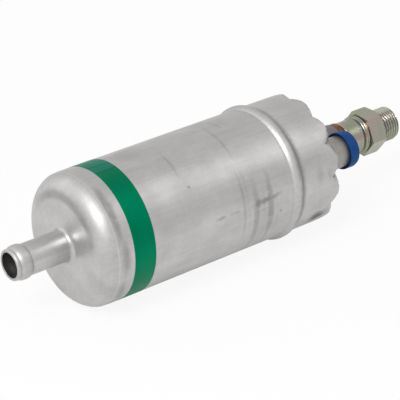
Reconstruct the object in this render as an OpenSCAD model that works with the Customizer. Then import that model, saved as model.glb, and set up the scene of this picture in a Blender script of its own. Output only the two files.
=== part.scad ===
// In-line electric roller-cell fuel pump, in millimetres.
// The pump axis lies along +X, from the inlet nipple at -X to the outlet valve at +X.
// The origin is on that axis, at the middle of the plain cylinder that a clamp holds.
// Round pieces are drawn along Z and laid over, so heights in the modules are X stations.

/* [Can] */
// Outside diameter of the can
can_d = 60; // [55:0.5:66]
// Length of the plain cylinder that a clamp can hold
grip_l = 93; // [86:1:110]
// Wall thickness of the can
can_wall = 1.5; // [1.2:0.1:1.6]
// Outside corner radius of the domed inlet end
dome_corner_r = 9; // [7:0.5:10]
// Height of the rolled bead over the can
bead_h = 1.5; // [1:0.1:1.8]
// Length of the rolled bead along the can
bead_l = 6.2; // [5.6:0.1:6.8]
// Length from the start of the bead to the end of the crimped rim
crimp_l = 28.4; // [27.6:0.1:31]
// Outside corner radius of the crimped rim
rim_corner_r = 1; // [0.8:0.1:1.4]
// Width of the crimped lip that holds the end cap
rim_lip_w = 4.5; // [4:0.1:4.6]
// Thickness of the crimped lip
rim_lip_t = 2.3; // [2:0.1:2.6]
// Number of crimped lobes round the rim
lobe_n = 12; // [10:1:14]
// Turn of the first lobe round the axis
lobe_turn = 9; // [0:0.1:29]
// Depth of the valley between two lobes
lobe_depth = 3.3; // [2.9:0.1:3.6]
// Radius of the rounded flank of a lobe
lobe_flank_r = 9.2; // [8.6:0.2:11]

/* [Inlet nipple] */
// Length of the nipple out of the domed end
nipple_l = 27.6; // [24:0.2:34]
// Outside diameter of the nipple's tube
nipple_d = 14; // [12:0.1:16]
// Wall thickness of the nipple's tube
nipple_wall = 1.5; // [1:0.1:2.5]
// Height of the hose bead over the tube
hose_bead_h = 0.7; // [0.5:0.1:1.2]
// Length of the hose bead
hose_bead_l = 5.8; // [5:0.2:7]
// Length of the plain lip in front of the hose bead
nipple_lip_l = 1.8; // [1.6:0.1:3]
// Fillet where the nipple leaves the dome
nipple_fillet_r = 2; // [1:0.2:3]
// Chamfer inside the can where the nipple's bore opens into it
nipple_chamfer = 2.5; // [1:0.1:2.8]
// Width of the strainer's frame ring
strainer_ring_w = 2; // [1.5:0.5:4]
// Height of the strainer's frame ring
strainer_t = 2.4; // [2:0.2:3]
// Thickness of the strainer's gauze
gauze_t = 0.5; // [0.4:0.1:0.8]

/* [Colour band] */
// Width of the colour band
band_w = 11; // [8:0.5:14]
// Start of the band from the plain cylinder's inlet end
band_start = 6; // [4:0.5:12]
// Thickness of the band's foil
band_t = 0.06; // [0.04:0.01:0.07]

/* [Pump stage] */
// Distance of the pump stage from the plain cylinder's inlet end
stage_start = 0.5; // [0.2:0.1:3]
// Radial clearance of the inner pieces in the can
stack_gap = 0.3; // [0.2:0.05:0.4]
// Thickness of the suction plate
suction_t = 8; // [7:0.5:9]
// Thickness of the cam ring
ring_t = 9; // [8:0.5:10]
// Thickness of the discharge plate
discharge_t = 8; // [7.5:0.5:9]
// Mean wall of the cam ring
cam_wall = 7.2; // [6.8:0.1:7.6]
// Offset of the cam ring's bore from the pump axis
cam_offset = 1.6; // [1.2:0.1:1.8]
// Gap between the rotor and the cam ring where they are nearest
rotor_gap = 0.4; // [0.2:0.05:0.6]
// Running clearance on each face of the rotor
face_gap = 0.05; // [0.03:0.01:0.08]
// Number of rollers
roller_n = 5; // [5]
// Diameter of a roller
roller_d = 7; // [6.6:0.1:7.2]
// Clearance of a roller to each side of its slot
roller_gap = 0.2; // [0.15:0.05:0.3]
// Gap between a roller at rest and the cam ring where they are nearest
roller_rest_gap = 0.6; // [0.4:0.05:0.8]
// Distance of the kidney ports' middle inside the rotor's edge
port_inset = 2; // [1.6:0.1:2.4]
// Radial width of the kidney ports
port_w = 5; // [4:0.2:5.4]
// Arc of the kidney ports
port_arc = 110; // [90:5:120]
// Diameter of the dowel pins through the stage
dowel_d = 3; // [2.5:0.1:3.2]
// Distance of the dowel pins from the stage's edge
dowel_edge = 3.2; // [3:0.1:3.4]

/* [Relief valve] */
// Diameter of the relief ball
relief_ball_d = 4.4; // [4:0.1:4.4]
// Radial clearance of the relief ball in its bore
relief_ball_gap = 0.3; // [0.1:0.05:0.4]
// Orifice under the relief ball
relief_orifice_d = 2.6; // [2.2:0.1:3]
// Distance of the relief valve from the stage's edge
relief_edge = 4.2; // [3.8:0.1:4.6]
// Length of the drilled plug that holds the relief spring
relief_plug_l = 5; // [4:0.5:5.5]
// Wire of the relief spring
relief_wire_d = 0.6; // [0.5:0.05:0.7]

/* [Motor] */
// Diameter of the armature shaft
shaft_d = 6; // [5.6:0.1:6.4]
// Radial running clearance of the shaft in its bushes
shaft_gap = 0.04; // [0.02:0.01:0.08]
// Outside diameter of the bushes
bush_d = 11; // [10:0.2:12]
// Length of a bush
bush_l = 6; // [5:0.5:6]
// Wall of the steel flux ring
flux_wall = 2.5; // [2:0.1:2.8]
// Thickness of the magnets
magnet_t = 4.6; // [4.2:0.1:4.7]
// Arc of each magnet
magnet_arc = 130; // [120:1:136]
// Air gap between the magnets and the armature
air_gap = 0.6; // [0.5:0.05:0.8]
// Number of slots in the armature
slot_n = 10; // [8:1:12]
// Diameter of a winding slot
slot_d = 5.2; // [4.4:0.1:5.4]
// Distance of the winding slots inside the armature's edge
slot_inset = 5.2; // [4.8:0.1:5.6]
// Opening of a winding slot
slot_mouth = 1.8; // [1.4:0.1:2.2]
// Length of a winding head past the armature
head_l = 5.8; // [5:0.2:6]
// Diameter of the commutator
commutator_d = 21; // [20:0.5:22]
// Length of the commutator
commutator_l = 12; // [11:0.5:13]
// Wall of the commutator segments
segment_t = 3.9; // [3.4:0.1:4.2]
// Slit between two commutator segments
segment_slit = 0.6; // [0.4:0.1:0.8]
// Thickness of the brush holder's plate
holder_t = 4.4; // [4:0.2:4.8]
// Width of a brush round the commutator
brush_w = 6; // [5.6:0.1:6.4]
// Length of a brush along the commutator
brush_b = 8; // [7.6:0.1:8.2]
// Room for the spring behind a brush
brush_spring_room = 4.6; // [3.6:0.1:5.6]
// Clearance of a brush in its guide
brush_gap = 0.1; // [0.08:0.01:0.15]
// Sheet thickness of a brush guide
guide_t = 0.5; // [0.4:0.05:0.6]
// Wire of a brush spring
brush_wire_d = 0.5; // [0.4:0.05:0.55]

/* [End cap] */
// Length of the end cap inside the can
cap_l = 19; // [18:0.5:22]
// Depth of the end cap's wiring recess
recess_l = 7; // [6.5:0.1:7.5]
// Section of the sealing ring round the end cap
seal_d = 2.8; // [2.4:0.1:2.9]
// Diameter of the outlet boss
boss_d = 18; // [17.4:0.1:18.4]
// Length of the outlet boss out of the end cap
boss_l = 26.2; // [25.6:0.2:28]
// Length of the taper at the boss's outlet end
boss_taper_l = 2; // [1:0.2:3]
// Height of that taper
boss_taper_h = 0.35; // [0.2:0.05:0.5]
// Gap between the outlet boss and a terminal turret
turret_gap = 1.7; // [1.5:0.1:2.2]
// Gap between a terminal turret and the crimped lip
turret_lip_gap = 0.2; // [0.1:0.05:0.4]
// Length of a terminal turret out of the end cap
turret_l = 15.5; // [14.8:0.1:16]
// Turn of the positive terminal round the axis
terminal_turn = 249.6; // [240:0.1:260]
// Diameter of the positive stud
positive_d = 5; // [4.6:0.1:5]
// Diameter of the negative stud
negative_d = 4; // [3.8:0.1:4.2]
// Free length of the negative stud over its nut
negative_free_l = 8; // [7:0.5:12]
// Depth of the nut recess in the positive turret
nut_recess_l = 4; // [3.6:0.1:4.4]
// Side wall of the blue terminal cover
cover_wall = 1.25; // [0.9:0.05:1.35]
// Length of the blue terminal cover
cover_l = 5.6; // [5.4:0.1:6.6]
// Length of the cover's narrower outlet end
cover_end_l = 1.2; // [0.8:0.1:1.8]
// Step down to that end
cover_end_step = 0.3; // [0.1:0.05:0.4]
// Wall of the terminal cover's closed end
cover_top_t = 1; // [0.8:0.1:1.2]
// Length of the turret that the terminal cover grips
cover_grip_l = 2.9; // [2.4:0.1:3]
// Radial clearance of the terminal cover on its turret
cover_gap = 0.05; // [0.03:0.01:0.08]

/* [Outlet valve] */
// Diameter of the outlet thread
outlet_thread_d = 16; // [14:0.5:16.5]
// Length of the outlet thread
outlet_thread_l = 10.4; // [9:0.2:16]
// Pitch of the outlet thread
outlet_pitch = 1.5; // [1:0.25:1.5]
// Bore of the outlet
outlet_bore_d = 7; // [6:0.2:7.4]
// Width of the hexagon across its flats
hex_af = 19; // [18:0.5:19]
// Length of the hexagon
hex_l = 9.2; // [8:0.2:11]
// Turn of the hexagon round the axis
hex_turn = 34; // [0:1:59]
// Diameter of the plain shank behind the hexagon
shank_d = 16.4; // [16.4:0.1:17.4]
// Length of the plain shank
shank_l = 7.6; // [7:0.2:12]
// Length of the shank's flared foot on the washer
shank_foot_l = 2.4; // [1.6:0.2:3]
// Height of that flare
shank_foot_h = 0.4; // [0.2:0.1:0.5]
// Diameter of the larger of the two ridges
ridge_d = 18.2; // [17.8:0.1:18.8]
// Length of the two ridges
ridge_l = 4.6; // [4:0.1:5]
// Diameter of the spigot that screws into the boss
spigot_d = 12; // [11.6:0.1:12.4]
// Length of that spigot
spigot_l = 14; // [13:0.5:15]
// Bore that the poppet and its spring sit in
chamber_d = 9.2; // [8.8:0.1:9.4]
// Thickness of the copper sealing washer
washer_t = 2.1; // [1.5:0.1:2.5]
// Length of the pressed valve seat
seat_l = 6; // [5:0.5:7]
// Orifice of the valve seat
seat_orifice_d = 5; // [4.4:0.1:5.4]
// Wire of the poppet spring
poppet_wire_d = 0.6; // [0.5:0.05:0.7]

/* [Hidden] */
$fn = 96;
eps = 0.01;
// A cut runs this far past the faces that it opens
over = 1;

// Radii
can_r = can_d / 2;
can_in_r = can_r - can_wall;
stack_r = can_in_r - stack_gap;
lip_in_r = can_r - rim_lip_w;
nipple_r = nipple_d / 2;
nipple_bore_r = nipple_r - nipple_wall;
shaft_r = shaft_d / 2;
bush_r = bush_d / 2;
bush_in_r = shaft_r + shaft_gap;
roller_r = roller_d / 2;
cam_r = stack_r - cam_wall;
rotor_r = cam_r - cam_offset - rotor_gap;
roller_path_r = cam_r - cam_offset - roller_r - roller_rest_gap;
port_r = rotor_r - port_inset;
dowel_r = stack_r - dowel_edge;
relief_r = stack_r - relief_edge;
relief_mouth_r = relief_ball_d / 2 + relief_ball_gap;
// The strainer leaves the relief valve's mouth open
strainer_r = relief_r - relief_mouth_r;
strainer_bore_r = strainer_r - strainer_ring_w;
flux_in_r = stack_r - flux_wall;
// The magnets are glued to the flux ring over this film
glue_t = 0.1;
magnet_out_r = flux_in_r - glue_t;
core_r = magnet_out_r - magnet_t - air_gap;
slot_r = core_r - slot_inset;
commutator_r = commutator_d / 2;
boss_r = boss_d / 2;
washer_r = boss_r - boss_taper_h;
shank_r = shank_d / 2;
turret_r = (lip_in_r - turret_lip_gap - boss_r - turret_gap) / 2;
terminal_r = lip_in_r - turret_lip_gap - turret_r;
// Ring lugs and the wiring recess that they lie in
lug_ring_w = 1.4;
lug_r = positive_d / 2 + lug_ring_w;
lug_gap = 0.1;
recess_r = terminal_r + lug_r + lug_gap;
// Clearance between fixed pieces that slip into one another
slip = 0.05;

// Stations along X, from the inlet to the outlet
dome_x = -grip_l / 2 - dome_corner_r;
mouth_x = dome_x - nipple_l;
bead_x = grip_l / 2 + bead_l / 2;
rim_x = grip_l / 2 + crimp_l;
suction_x = -grip_l / 2 + stage_start;
cam_x = suction_x + suction_t;
discharge_x = cam_x + ring_t;
motor_x = discharge_x + discharge_t;
cap_face_gap = 0.1;
cap_face_x = rim_x - rim_lip_t - cap_face_gap;
cap_in_x = cap_face_x - cap_l;
recess_x = cap_in_x + recess_l;
commutator_end_gap = 1.1;
commutator_x1 = cap_in_x - holder_t - commutator_end_gap;
commutator_x0 = commutator_x1 - commutator_l;
insulator_disc_t = 0.8;
head_gap = 1.4;
core_end_l = insulator_disc_t + head_l + head_gap;
core_x0 = motor_x + core_end_l;
// The commutator's hub stands out this far towards the core
hub_foot_l = 1;
core_x1 = commutator_x0 - core_end_l - hub_foot_l;
core_l = core_x1 - core_x0;
boss_x = cap_face_x + boss_l;
turret_x = cap_face_x + turret_l;
shank_x = boss_x + washer_t;
ridge_x = shank_x + shank_l;
hex_x = ridge_x + ridge_l;
thread_x = hex_x + hex_l;
outlet_x = thread_x + outlet_thread_l;

// Rolled bead: an arc through its foot, crest and foot
bead_r = (pow(bead_l / 2, 2) + bead_h * bead_h) / (2 * bead_h);
hose_bead_r = (pow(hose_bead_l / 2, 2) + hose_bead_h * hose_bead_h) / (2 * hose_bead_h);
hose_bead_x = mouth_x + nipple_lip_l + hose_bead_l / 2;

// The floor of the valleys is a cone of this half angle, through the crown of the rim's corner
rim_slope = 45;
rim_crown = rim_x + can_r - rim_corner_r * (2 - sqrt(2));
floor_sum = rim_crown - lobe_depth * sqrt(2);
// The can's inside and the end cap's shoulder follow the valleys, one wall deeper
shoulder_sum = floor_sum - can_wall * sqrt(2);
shoulder_slip = 0.1;
lobe_pitch = 2 * PI * (can_r - lobe_depth) / lobe_n;

// Cam ring's offset points along this turn, away from the relief valve
cam_turn = 0;
relief_turn = cam_turn + 180;
relief_depth = 3;
relief_x = discharge_x + relief_depth;
relief_seat_x = relief_x + sqrt(pow(relief_ball_d / 2, 2) - pow(relief_orifice_d / 2, 2));

// Brushes stand on the commutator at these turns
brush_turns = [90, 270];
// They stand past its middle, clear of the risers
brush_shift = 0.5;
brush_x = (commutator_x0 + commutator_x1) / 2 + brush_shift;
brush_foot_gap = 0.1;
brush_foot_r = commutator_r + brush_foot_gap;
guide_top_gap = 1;
guide_top_r = flux_in_r - guide_top_gap;
brush_top_r = guide_top_r - guide_t - brush_spring_room;
guide_foot_gap = 1.2;
guide_foot_r = commutator_r + guide_foot_gap;
guide_w = brush_w + 2 * (brush_gap + guide_t);
guide_b = brush_b + 2 * (brush_gap + guide_t);

// Metric nuts: width over the flats and height, in shares of the thread
nut_af_share = 1.65;
nut_h_share = 0.8;
washer_share = 2.1;
terminal_washer_t = 0.8;
positive_nut_x = turret_x - nut_recess_l + terminal_washer_t;
negative_nut_x = turret_x + terminal_washer_t;
nut_corner_share = 1.16;
// Core of the negative stud's thread
thread_core_share = 0.8;
negative_core_r = negative_d / 2 * thread_core_share;
nut_recess_gap = 0.5;
nut_recess_r = nut_af_share * positive_d / 2 * nut_corner_share + nut_recess_gap;
insulator_t = 1.2;
insulator_flange_t = 1;
cover_x = turret_x - cover_grip_l;
stud_cover_gap = 0.4;
positive_end_x = cover_x + cover_l - cover_top_t - stud_cover_gap;
stud_in_l = 3.2;
stud_in_x = recess_x - stud_in_l;
stud_head_t = 1.2;
stud_head_over = 1;
negative_end_x = negative_nut_x + nut_h_share * negative_d + negative_free_l;

// Poppet and its spring inside the outlet valve
spigot_x = shank_x - spigot_l;
chamber_reach = 2;
chamber_end_x = ridge_x + chamber_reach;
seat_x = spigot_x + seat_l;
poppet_overlap = 1;
poppet_head_r = seat_orifice_d / 2 + poppet_overlap;
poppet_head_t = 2;
valve_seal_t = 1;
poppet_gap = 0.1;
poppet_x = seat_x + poppet_gap;
poppet_back_x = poppet_x + valve_seal_t + poppet_head_t;
poppet_stem_r = 1.8;
poppet_stem_l = 5;
poppet_guide_gap = 0.3;
poppet_wing_w = 1.2;
poppet_spring_r = (chamber_d + outlet_bore_d) / 4;

module along_x() { rotate([0, 90, 0]) children(); }
module at(x) { translate([0, 0, x]) children(); }
module tube(outer_r, inner_r, x0, x1) {
  at(x0) difference() {
    cylinder(r = outer_r, h = x1 - x0);
    at(-over) cylinder(r = inner_r, h = x1 - x0 + 2 * over);
  }
}
module rod(x0, x1, r) { at(x0) cylinder(r = r, h = x1 - x0); }
module round_at(turn, radius) { rotate(turn) translate([radius, 0, 0]) children(); }
module hex_prism(af, h) { cylinder(d = af / cos(30), h = h, $fn = 6); }
// Revolved rectangle from radius r0 to r1 and from station x0 to x1, drawn flat
module band_2d(r0, r1, x0, x1) { translate([r0, x0]) square([r1 - r0, x1 - x0]); }

// Helical wire: one unbroken tube of hexagonal section along Z, from height 0 to length
module coil(mean_r, wire_d, length, turns) {
  rings_per_turn = 8;
  sides = 6;
  rings = turns * rings_per_turn;
  rise = length - wire_d;
  function ring(i) = [
    for (k = [0:sides - 1])
      let (turn = 360 * i / rings_per_turn, side = 360 * k / sides,
           r = mean_r + wire_d / 2 * cos(side))
      [r * cos(turn), r * sin(turn), wire_d / 2 + rise * i / rings + wire_d / 2 * sin(side)]
  ];
  points = [for (i = [0:rings]) each ring(i)];
  last = rings * sides;
  walls = [
    for (i = [0:rings - 1], k = [0:sides - 1])
      let (a = i * sides + k, b = i * sides + (k + 1) % sides)
      each [[a, b, b + sides], [a, b + sides, a + sides]]
  ];
  start = [for (k = [1:sides - 2]) [0, k + 1, k]];
  end = [for (k = [1:sides - 2]) [last, last + k, last + k + 1]];
  polyhedron(points = points, faces = concat(walls, start, end));
}

// Kidney port: an arc slot through a plate
module kidney(turn, x0, x1) {
  rotate(turn - port_arc / 2) at(x0) rotate_extrude(angle = port_arc)
    translate([port_r - port_w / 2, 0]) square([port_w, x1 - x0]);
}

module can_outer_2d() {
  corner = can_r - dome_corner_r;
  band_2d(0, corner, dome_x, rim_x);
  band_2d(0, can_r, -grip_l / 2, rim_x - rim_corner_r);
  translate([corner, -grip_l / 2]) circle(r = dome_corner_r);
  band_2d(0, can_r - rim_corner_r, -grip_l / 2, rim_x);
  translate([can_r - rim_corner_r, rim_x - rim_corner_r]) circle(r = rim_corner_r);
  translate([can_r + bead_h - bead_r, bead_x]) circle(r = bead_r);
}
module can_inner_2d() {
  corner = can_in_r - (dome_corner_r - can_wall);
  lip_in_x = rim_x - rim_lip_t;
  band_2d(0, corner, dome_x + can_wall, -grip_l / 2 + over);
  translate([corner, -grip_l / 2]) circle(r = dome_corner_r - can_wall);
  polygon([
    [0, -grip_l / 2], [can_in_r, -grip_l / 2], [can_in_r, shoulder_sum - can_in_r],
    [shoulder_sum - lip_in_x, lip_in_x], [0, lip_in_x]
  ]);
  band_2d(0, lip_in_r, lip_in_x - over, rim_x + over);
  translate([can_r + bead_h - bead_r, bead_x]) circle(r = bead_r - can_wall);
}
module nipple_2d() {
  foot_x = dome_x + can_wall;
  band_2d(0, nipple_r, mouth_x, foot_x);
  intersection() {
    translate([nipple_r + hose_bead_h - hose_bead_r, hose_bead_x]) circle(r = hose_bead_r);
    band_2d(0, nipple_d, hose_bead_x - hose_bead_l / 2, hose_bead_x + hose_bead_l / 2);
  }
  difference() {
    band_2d(0, nipple_r + nipple_fillet_r, dome_x - nipple_fillet_r, foot_x - can_wall / 2);
    translate([nipple_r + nipple_fillet_r, dome_x - nipple_fillet_r]) circle(r = nipple_fillet_r);
  }
}
module nipple_bore_2d() {
  foot_x = dome_x + can_wall;
  polygon([
    [0, mouth_x - over], [nipple_bore_r, mouth_x - over], [nipple_bore_r, foot_x - nipple_chamfer],
    [nipple_bore_r + nipple_chamfer + over, foot_x + over], [0, foot_x + over]
  ]);
}
// Valley between two lobes: the cusp left between two round flanks, driven in along the cone
module valley() {
  half = lobe_pitch / 2;
  drop = sqrt(pow(lobe_flank_r, 2) - pow(half, 2));
  reach = 4 * rim_lip_w;
  translate([can_r, 0, floor_sum - can_r])
    rotate([0, -rim_slope, 0]) translate([0, 0, -reach / 2]) linear_extrude(reach)
      difference() {
        translate([0, -half]) square([lobe_flank_r, lobe_pitch]);
        for (side = [-1, 1]) translate([-drop, side * half]) circle(r = lobe_flank_r);
      }
}
module can() {
  color("silver") along_x() difference() {
    union() {
      rotate_extrude() difference() { can_outer_2d(); can_inner_2d(); }
      rotate_extrude() nipple_2d();
    }
    rotate_extrude() nipple_bore_2d();
    for (i = [0:lobe_n - 1]) rotate(lobe_turn + (i + 0.5) * 360 / lobe_n) valley();
  }
}
module colour_band() {
  x0 = -grip_l / 2 + band_start;
  color("seagreen") along_x() tube(can_r + band_t, can_r, x0, x0 + band_w);
}

spoke_w = 1.2;
spoke_t = 1;
module strainer_frame() {
  color("ivory") along_x() {
    tube(strainer_r, strainer_bore_r, suction_x - strainer_t, suction_x);
    at(suction_x - strainer_t) for (turn = [0, 90]) rotate(turn)
      translate([-strainer_bore_r - eps, -spoke_w / 2, 0])
        cube([2 * (strainer_bore_r + eps), spoke_w, spoke_t]);
  }
}
module strainer_gauze() {
  x0 = suction_x - strainer_t + spoke_t;
  color("gainsboro") along_x() rod(x0, x0 + gauze_t, strainer_bore_r - slip);
}

// Floor left under the dowel holes, and the dowels' clearance from it
dowel_floor = 1;
dowel_end_gap = 0.1;
module stage_holes(x0, x1) {
  for (turn = [90, 270]) round_at(cam_turn + turn, dowel_r) rod(x0, x1, dowel_d / 2 + slip);
}
module suction_plate() {
  x0 = suction_x;
  x1 = cam_x;
  color("lightsteelblue") along_x() difference() {
    rod(x0, x1, stack_r);
    kidney(cam_turn + 90, x0 - over, x1 + over);
    rod(x1 - bush_l, x1 + over, bush_r);
    stage_holes(x0 + dowel_floor, x1 + over);
    round_at(relief_turn, relief_r) rod(x0 - over, x1 + over, relief_mouth_r);
  }
}
module cam_ring() {
  color("slategray") along_x() difference() {
    rod(cam_x, discharge_x, stack_r);
    round_at(cam_turn, cam_offset) rod(cam_x - over, discharge_x + over, cam_r);
    stage_holes(cam_x - over, discharge_x + over);
    round_at(relief_turn, relief_r) rod(cam_x - over, discharge_x + over, relief_mouth_r);
  }
}
// Drive dog: a disc behind the rotor with two tongues that reach into it beside the shaft
dog_tongue_w = 3;
dog_tongue_h = 3;
dog_tongue_l = 4;
dog_shaft_gap = 1;
dog_tongue_r = shaft_r + dog_shaft_gap + dog_tongue_h;
dog_edge = 0.6;
dog_r = dog_tongue_r + dog_edge;
dog_t = 3.4;
dog_gap = 0.1;
dog_recess_gap = 0.4;
module dog_tongues(grow) {
  x0 = discharge_x - face_gap - dog_tongue_l - grow;
  for (turn = [0, 180]) rotate(turn)
    translate([shaft_r + dog_shaft_gap - grow, -dog_tongue_w / 2 - grow, x0])
      cube([dog_tongue_h + 2 * grow, dog_tongue_w + 2 * grow,
            dog_tongue_l + face_gap + dog_gap + over + grow]);
}
module pump_rotor() {
  slot_w = roller_r + roller_gap;
  color("dimgray") along_x() difference() {
    rod(cam_x + face_gap, discharge_x - face_gap, rotor_r);
    rod(cam_x - over, discharge_x + over, shaft_r);
    dog_tongues(dog_gap);
    for (i = [0:roller_n - 1]) rotate(i * 360 / roller_n) {
      translate([roller_path_r, 0, 0]) rod(cam_x - over, discharge_x + over, slot_w);
      translate([roller_path_r, -slot_w, cam_x - over]) cube([rotor_r, 2 * slot_w, ring_t + 2 * over]);
    }
  }
}
module roller(i) {
  color("silver") along_x() round_at((i - 1) * 360 / roller_n, roller_path_r)
    rod(cam_x + face_gap, discharge_x - face_gap, roller_r);
}
module roller_1() { roller(1); }
module roller_2() { roller(2); }
module roller_3() { roller(3); }
module roller_4() { roller(4); }
module roller_5() { roller(5); }
module discharge_plate() {
  x0 = discharge_x;
  x1 = motor_x;
  color("lightsteelblue") along_x() difference() {
    rod(x0, x1, stack_r);
    kidney(cam_turn + 270, x0 - over, x1 + over);
    rod(x0 - over, x0 + dog_t + 2 * dog_gap, dog_r + dog_recess_gap);
    rod(x0 + dog_t, x1 + over, shaft_r + dog_shaft_gap);
    rod(x1 - middle_bush_l, x1 + over, bush_r);
    stage_holes(x0 - over, x1 - dowel_floor);
    round_at(relief_turn, relief_r) {
      rod(x0 - over, relief_seat_x, relief_mouth_r);
      rod(x0, x1 + over, relief_orifice_d / 2);
    }
  }
}
module stage_dowels() {
  inset = dowel_floor + dowel_end_gap;
  color("silver") along_x() for (turn = [90, 270])
    round_at(cam_turn + turn, dowel_r) rod(suction_x + inset, motor_x - inset, dowel_d / 2);
}

relief_plug_bore_r = 1;
relief_spring_x0 = suction_x + relief_plug_l;
// The spring's last turn lies round the ball
relief_spring_x1 = relief_x - relief_ball_d / 2 + relief_wire_d / 2;
module relief_ball() {
  color("silver") along_x() round_at(relief_turn, relief_r) at(relief_x) sphere(d = relief_ball_d);
}
module relief_spring() {
  color("darkgray") along_x() round_at(relief_turn, relief_r)
    at(relief_spring_x0) coil(relief_mouth_r - relief_wire_d, relief_wire_d,
                              relief_spring_x1 - relief_spring_x0, 7);
}
module relief_plug() {
  color("goldenrod") along_x() round_at(relief_turn, relief_r)
    tube(relief_mouth_r - slip, relief_plug_bore_r, suction_x, suction_x + relief_plug_l);
}

middle_bush_l = 4;
module front_bush() {
  color("peru") along_x() tube(bush_r, bush_in_r, cam_x - bush_l, cam_x);
}
module middle_bush() {
  color("peru") along_x() tube(bush_r, bush_in_r, motor_x - middle_bush_l, motor_x);
}
hub_wall = 1.5;
hub_r = bush_r + hub_wall;
bracket_t = 2.5;
rear_bush_inset = 1;
rear_bush_x = recess_x - bracket_t - rear_bush_inset;
// Fuel passes the bracket through six holes round its hub
bracket_hole_n = 6;
bracket_hole_r = 1.8;
bracket_hole_gap = 1;
terminal_hole_gap = 0.5;
module rear_bush() {
  color("peru") along_x() tube(bush_r, bush_in_r, rear_bush_x, rear_bush_x + bush_l);
}
module bearing_bracket() {
  color("lightgray") along_x() difference() {
    union() {
      rod(recess_x - bracket_t, recess_x, recess_r - slip);
      rod(rear_bush_x, rear_bush_x + bush_l, hub_r);
    }
    rod(rear_bush_x - over, rear_bush_x + bush_l + over, bush_r);
    for (i = [0:bracket_hole_n - 1])
      round_at(terminal_turn + (i + 0.5) * 360 / bracket_hole_n,
               hub_r + bracket_hole_gap + bracket_hole_r)
        rod(recess_x - bracket_t - over, recess_x + over, bracket_hole_r);
    for (turn = [0, 180]) round_at(terminal_turn + turn, terminal_r)
      rod(recess_x - bracket_t - over, recess_x + over, positive_d / 2 + insulator_t + terminal_hole_gap);
  }
}

shaft_end_inset = 0.5;
shaft_x0 = cam_x - bush_l + shaft_end_inset;
shaft_x1 = rear_bush_x + bush_l - shaft_end_inset;
module armature_shaft() {
  color("silver") along_x() rod(shaft_x0, shaft_x1, shaft_r);
}
module drive_dog() {
  color("saddlebrown") along_x() difference() {
    union() {
      rod(discharge_x + dog_gap, discharge_x + dog_t, dog_r);
      dog_tongues(0);
    }
    rod(discharge_x - ring_t, motor_x, shaft_r);
  }
}
module core_slice(x0, x1, r, pocket_d) {
  difference() {
    rod(x0, x1, r);
    rod(x0 - over, x1 + over, shaft_r);
    for (i = [0:slot_n - 1]) rotate(i * 360 / slot_n) {
      translate([slot_r, 0, 0]) rod(x0 - over, x1 + over, pocket_d / 2);
      translate([slot_r, -slot_mouth / 2, x0 - over]) cube([core_r, slot_mouth, x1 - x0 + 2 * over]);
    }
  }
}
module armature_core() {
  color("gray") along_x() core_slice(core_x0, core_x1, core_r, slot_d);
}
insulator_inset = 0.8;
module core_insulators() {
  color("darkred") along_x() for (x = [core_x0 - insulator_disc_t, core_x1])
    core_slice(x, x + insulator_disc_t, core_r - insulator_inset, slot_d);
}
module windings() {
  liner_t = 0.3;
  bar_r = slot_d / 2 - liner_t;
  head_in_r = bush_r + 2.2;
  head_out_r = core_r - 2;
  round_r = 2;
  color("chocolate") along_x() {
    for (i = [0:slot_n - 1]) round_at(i * 360 / slot_n, slot_r)
      rod(core_x0 - insulator_disc_t - eps, core_x1 + insulator_disc_t + eps, bar_r);
    for (x = [core_x0 - insulator_disc_t - head_l, core_x1 + insulator_disc_t]) at(x)
      rotate_extrude() {
        translate([head_in_r, round_r]) square([head_out_r - head_in_r, head_l - 2 * round_r]);
        translate([head_in_r + round_r, 0]) square([head_out_r - head_in_r - 2 * round_r, head_l]);
        for (r = [head_in_r + round_r, head_out_r - round_r], h = [round_r, head_l - round_r])
          translate([r, h]) circle(r = round_r);
      }
  }
}
segment_in_r = commutator_r - segment_t;
riser_h = 1.2;
hub_end_l = 0.5;
module commutator_hub() {
  color("saddlebrown") along_x()
    tube(segment_in_r, shaft_r, commutator_x0 - hub_foot_l, commutator_x1 + hub_end_l);
}
module commutator_segments() {
  color("peru") along_x() difference() {
    union() {
      tube(commutator_r, segment_in_r, commutator_x0, commutator_x1);
      tube(commutator_r + riser_h, segment_in_r, commutator_x0, commutator_x0 + riser_h);
    }
    for (i = [0:slot_n - 1]) rotate((i + 0.5) * 360 / slot_n)
      translate([shaft_r, -segment_slit / 2, commutator_x0 - over])
        cube([commutator_r, segment_slit, commutator_l + 2 * over]);
  }
}
module thrust_washers() {
  play = 0.15;
  thickness = 0.8;
  color("ivory") along_x() {
    tube(bush_r, shaft_r, motor_x + play, motor_x + play + thickness);
    tube(bush_r, shaft_r, rear_bush_x - play - thickness, rear_bush_x - play);
  }
}

// The magnets stand past the core at each end
magnet_over = 3;
magnet_x0 = core_x0 - magnet_over;
magnet_x1 = core_x1 + magnet_over;
module magnet(turn) {
  color("dimgray") along_x() rotate(turn - magnet_arc / 2) at(magnet_x0)
    rotate_extrude(angle = magnet_arc)
      translate([magnet_out_r - magnet_t, 0]) square([magnet_t, magnet_x1 - magnet_x0]);
}
module magnet_upper() { magnet(180); }
module magnet_lower() { magnet(0); }
module magnet_clips() {
  // Each sprung strip fills the gap between the magnets but for a degree at each side
  clip_arc = 180 - magnet_arc - 2;
  clip_t = 0.8;
  color("silver") along_x() for (turn = [90, 270])
    rotate(turn - clip_arc / 2) at(magnet_x0) rotate_extrude(angle = clip_arc)
      translate([magnet_out_r - clip_t, 0]) square([clip_t, magnet_x1 - magnet_x0]);
}
module flux_ring() {
  color("lightslategray") along_x() tube(stack_r, flux_in_r, motor_x, cap_in_x);
}

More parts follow.
